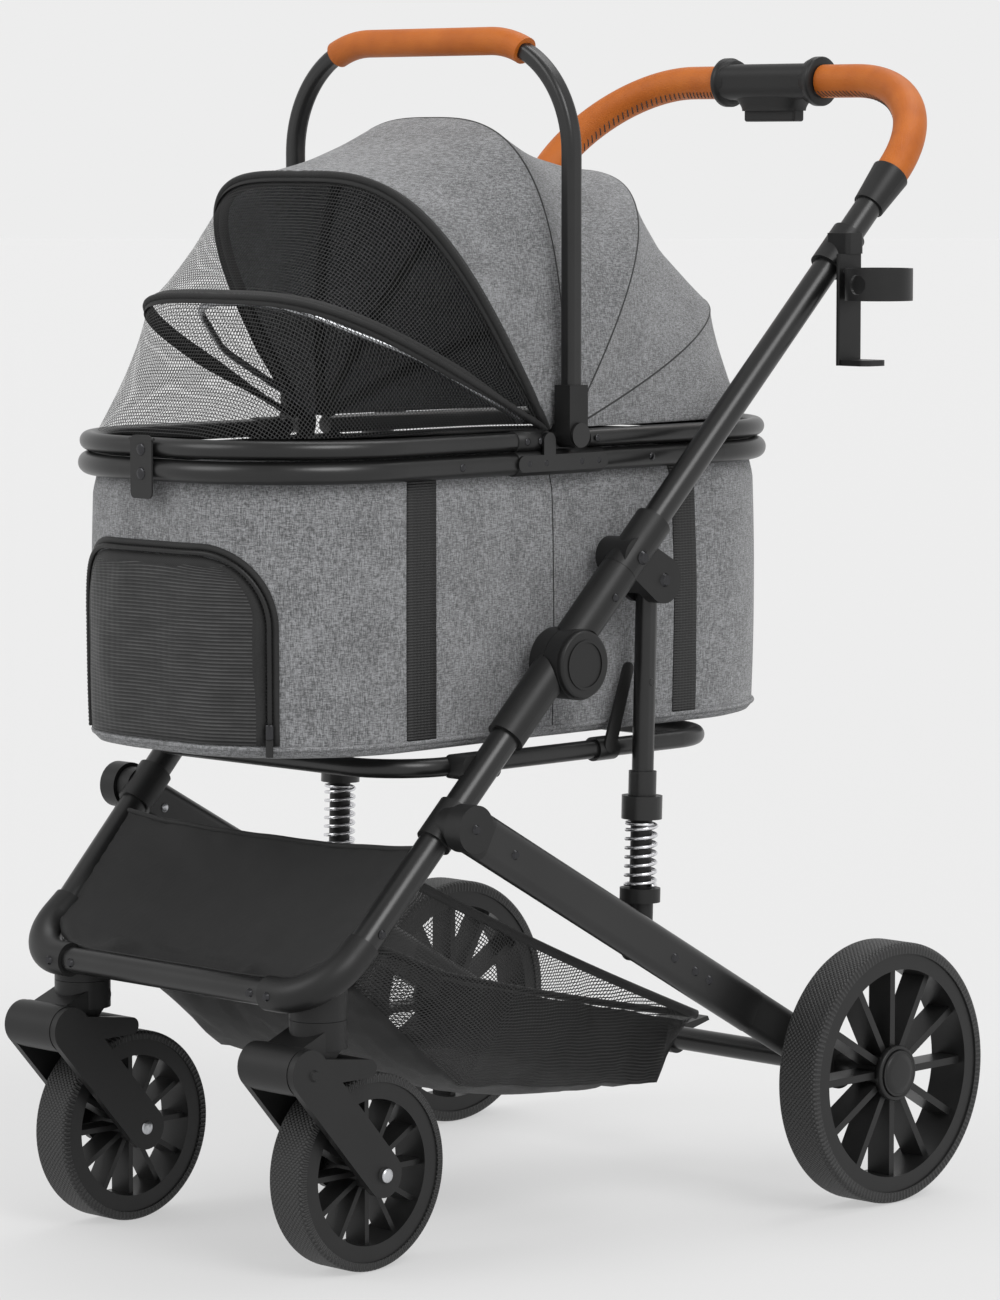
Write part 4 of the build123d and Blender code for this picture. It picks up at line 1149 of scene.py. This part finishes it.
def make_rivets():
    """Rivet heads on the rims, the hinge sleeves and the arch's pivots."""
    lower, upper, rear = [], [], []
    for sign in (1, -1):
        face = sign * (LOWER_RIM_HIGH.x + 0.0016)
        lower += [((face, y, LOWER_RIM_Z), (sign, 0, 0)) for y in (-0.118, -0.098, -0.055, -0.034)]
        lower += [((face - sign * 0.0018, y, LOWER_RIM_Z), (sign, 0, 0)) for y in (-0.1945, 0.0344)]
        upper += [((sign * UPPER_SEAT, y, UPPER_RIM_Z), (sign, 0, 0)) for y in (-0.118, -0.102)]
        rear.append(((sign * UPPER_SEAT, -0.033, UPPER_RIM_Z), (sign, 0, 0)))
    dome_heads("lower_rim_rivets", lower, 0.0034, "carrier", "rivet")
    dome_heads("upper_rim_rivets", upper, 0.0032, "hood_front", "rivet")
    dome_heads("rear_rim_rivets", rear, 0.0032, "carrier", "rivet")
    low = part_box("rim_latch")[0]
    snaps = [((0, low.y + 0.0008, z), (0, -1, 0)) for z in (0.6755, 0.6555)]
    dome_heads("latch_snaps", snaps, 0.0052, "rim_latch", "rivet", height=0.3)


def make_hinge_sleeves():
    """Moulded sleeves round the rims where the hood's front half hinges."""
    for label, sign in SIDES:
        spot = (sign * (LOWER_RIM_HIGH.x - 0.0095), -0.128, LOWER_RIM_Z)
        shell = [(0, 0.0098), (0.0005, 0.0108), (0.104, 0.0108), (0.1045, 0.0098)]
        sleeve = lathe(f"lower_hinge_sleeve_{label}", spot, (0, 1, 0), shell)
        finish_piece(sleeve, "carrier", "plastic")
        spot = (sign * (UPPER_RIM_HIGH.x - 0.008), -0.1275, UPPER_RIM_Z)
        shell = [(0, 0.0083), (0.0004, 0.0091), (0.0376, 0.0091), (0.038, 0.0083)]
        sleeve = lathe(f"upper_hinge_sleeve_{label}", spot, (0, 1, 0), shell)
        finish_piece(sleeve, "hood_front", "plastic")


def make_hood_strap():
    """The webbing pull on the back of the hood, its ends flat on the cloth and its middle raised in a loop."""
    low, high = bow_point("rear_crest", 0.5), bow_point("rear", 0.5)
    across = Vector((1, 0, 0))
    span = high - low
    out = span.cross(across).normalized()
    out = out if out.y > 0 else -out
    rows = []
    for k in range(33):
        u = k / 32
        rise = 0.0016 + 0.0085 * math.sin(math.pi * min(max((u - 0.08) / 0.84, 0.0), 1.0)) ** 0.7
        spot = low.lerp(high, 0.14 + 0.56 * u) + out * rise
        rows.append([spot + across * w for w in (-0.012, -0.0115, -0.006, 0, 0.006, 0.0115, 0.012)])
    strip("hood_strap", rows, 0.0022, "carrier", "webbing")


def make_springs():
    """Bright coil springs on the posts, carried on the posts' bodies."""
    turns, steps, radius = 8, 28, 0.0129
    along = Vector((0, POST_LEAN, 0.99959)).normalized()
    side = Vector((1, 0, 0))
    other = along.cross(side)
    for label, sign in SIDES:
        low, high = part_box(f"post_spring_{label}")
        start = low.z + 0.0022
        base = Vector((sign * POST_X, (start - POST_ZERO) * POST_LEAN, start))
        length = high.z - low.z - 0.0052
        path = []
        for k in range(turns * steps + 1):
            turn = 2 * math.pi * k / steps
            rise = min(max((k / steps - 0.6) / (turns - 1.2), 0.0), 1.0) * length
            spoke = side * math.cos(turn) + other * math.sin(turn)
            path.append(base + along * rise + spoke * radius)
        spring = tube_piece(f"post_coil_{label}", path, 0.0016, up=along)
        finish_piece(spring, f"post_{label}", "spring", [f"post_spring_{label}"])
        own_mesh(spring)


def make_far_eyelets():
    """Plated eyelets on the inner faces of both rails and both rear legs."""
    rails, legs = [], []
    for sign in (1, -1):
        rails.append(((sign * 0.1735, -0.2360, 0.3645), (-sign, 0, 0)))
        legs.append(((sign * 0.2049, -0.1935, 0.3425), (-sign, 0, 0)))
    dome_heads("rail_eyelets", rails, 0.0042, "chassis", "steel")
    dome_heads("leg_eyelets", legs, 0.0042, "rear_frame", "steel")


# ---------------------------------------------------------------- camera and light

def make_camera():
    data = bpy.data.cameras.new("camera")
    data.lens = 141.2
    data.sensor_width = 36.0
    data.sensor_fit = "AUTO"
    data.clip_end = 60
    camera = place("camera", data)
    camera.location = (3.1431, -3.1634, 0.9113)
    yaw, pitch = math.radians(44.635), math.radians(5.488)
    camera.rotation_euler = (math.pi / 2 - pitch, 0, yaw)
    bpy.context.scene.camera = camera


def sun(name, azimuth, elevation, angle, strength):
    data = bpy.data.lights.new(name, "SUN")
    data.angle = math.radians(angle)
    data.energy = strength
    light = place(name, data)
    turn, rise = math.radians(azimuth), math.radians(elevation)
    toward = Vector((math.cos(turn) * math.cos(rise), math.sin(turn) * math.cos(rise), math.sin(rise)))
    light.rotation_euler = toward.to_track_quat("Z", "Y").to_euler()
    light.location = toward * 4


def make_stage():
    """A pale studio: floor and surroundings of one tone, dimmer overhead, soft lights."""
    rows = [[Vector((x * 60.0, y * 60.0, -0.0005)) for x in (-1, 0, 1)] for y in (-1, 0, 1)]
    floor = grid_piece("floor", rows)
    material, tree, shader = new_material("studio_floor")
    tune(shader, Base_Color=(0.25, 0.25, 0.25, 1), Roughness=0.9, Specular_IOR_Level=0.1)
    tune(shader, Emission_Color=(1.0, 1.0, 1.0, 1), Emission_Strength=0.488)
    floor.data.materials.append(material)
    world = bpy.data.worlds.new("studio")
    bpy.context.scene.world = world
    world.use_nodes = True
    tree = world.node_tree
    split = add(tree, "ShaderNodeSeparateXYZ")
    link(add(tree, "ShaderNodeTexCoord").outputs["Generated"], split.inputs[0])
    sky = ramp(split.outputs["Z"], [(0.22, 0.847), (0.62, 0.60)])
    link(sky, tree.nodes["Background"].inputs["Color"])
    tune(tree.nodes["Background"], Strength=1.0)
    sun("key", -12, 42, 30, 1.35)
    sun("fill", -112, 36, 34, 0.85)
    sun("back", 105, 62, 40, 0.95)
    bpy.context.scene.view_settings.view_transform = "Standard"


# ---------------------------------------------------------------- CAD materials

SLOT_LOOKS = {
    "frame_black": "frame",
    "plastic_black": "plastic",
    "wheel_plastic": "wheel",
    "tyre": "tyre",
    "steel": "steel",
    "tan_leather": "tan",
    "grey_fabric": "heather",
    "black_fabric": "black",
    "black_mesh": "net",
}


def dress_frame():
    """Gives every CAD node its procedural material, in place of the plain one."""
    for part in frame["record"]["subparts"]:
        node = frame["nodes"][part["node"]]
        look = SLOT_LOOKS[part["material_slot"]]
        if look == "tyre":
            look = part["node"].split("_")[0] + "_tyre"
        if part["node"] in ("chassis_screws", "handle_rivets", "leg_rivets"):
            look = "rivet"
        if part["node"].startswith("post_spring"):
            look = "spring"
        node.data.materials.clear()
        node.data.materials.append(MATERIALS[look])


for make in (
    make_camera, make_stage, dress_frame, make_hood, make_hood_net, make_bow_tapes, make_hood_seams,
    make_bow_wires, make_bag, make_bag_floor_pad, make_bag_trim, make_door, make_foot_panel, make_basket,
    make_grip_stitches, make_console_details, make_hub_caps, make_rivets, make_hinge_sleeves, make_hood_strap,
    make_springs, make_far_eyelets,
):
    make()
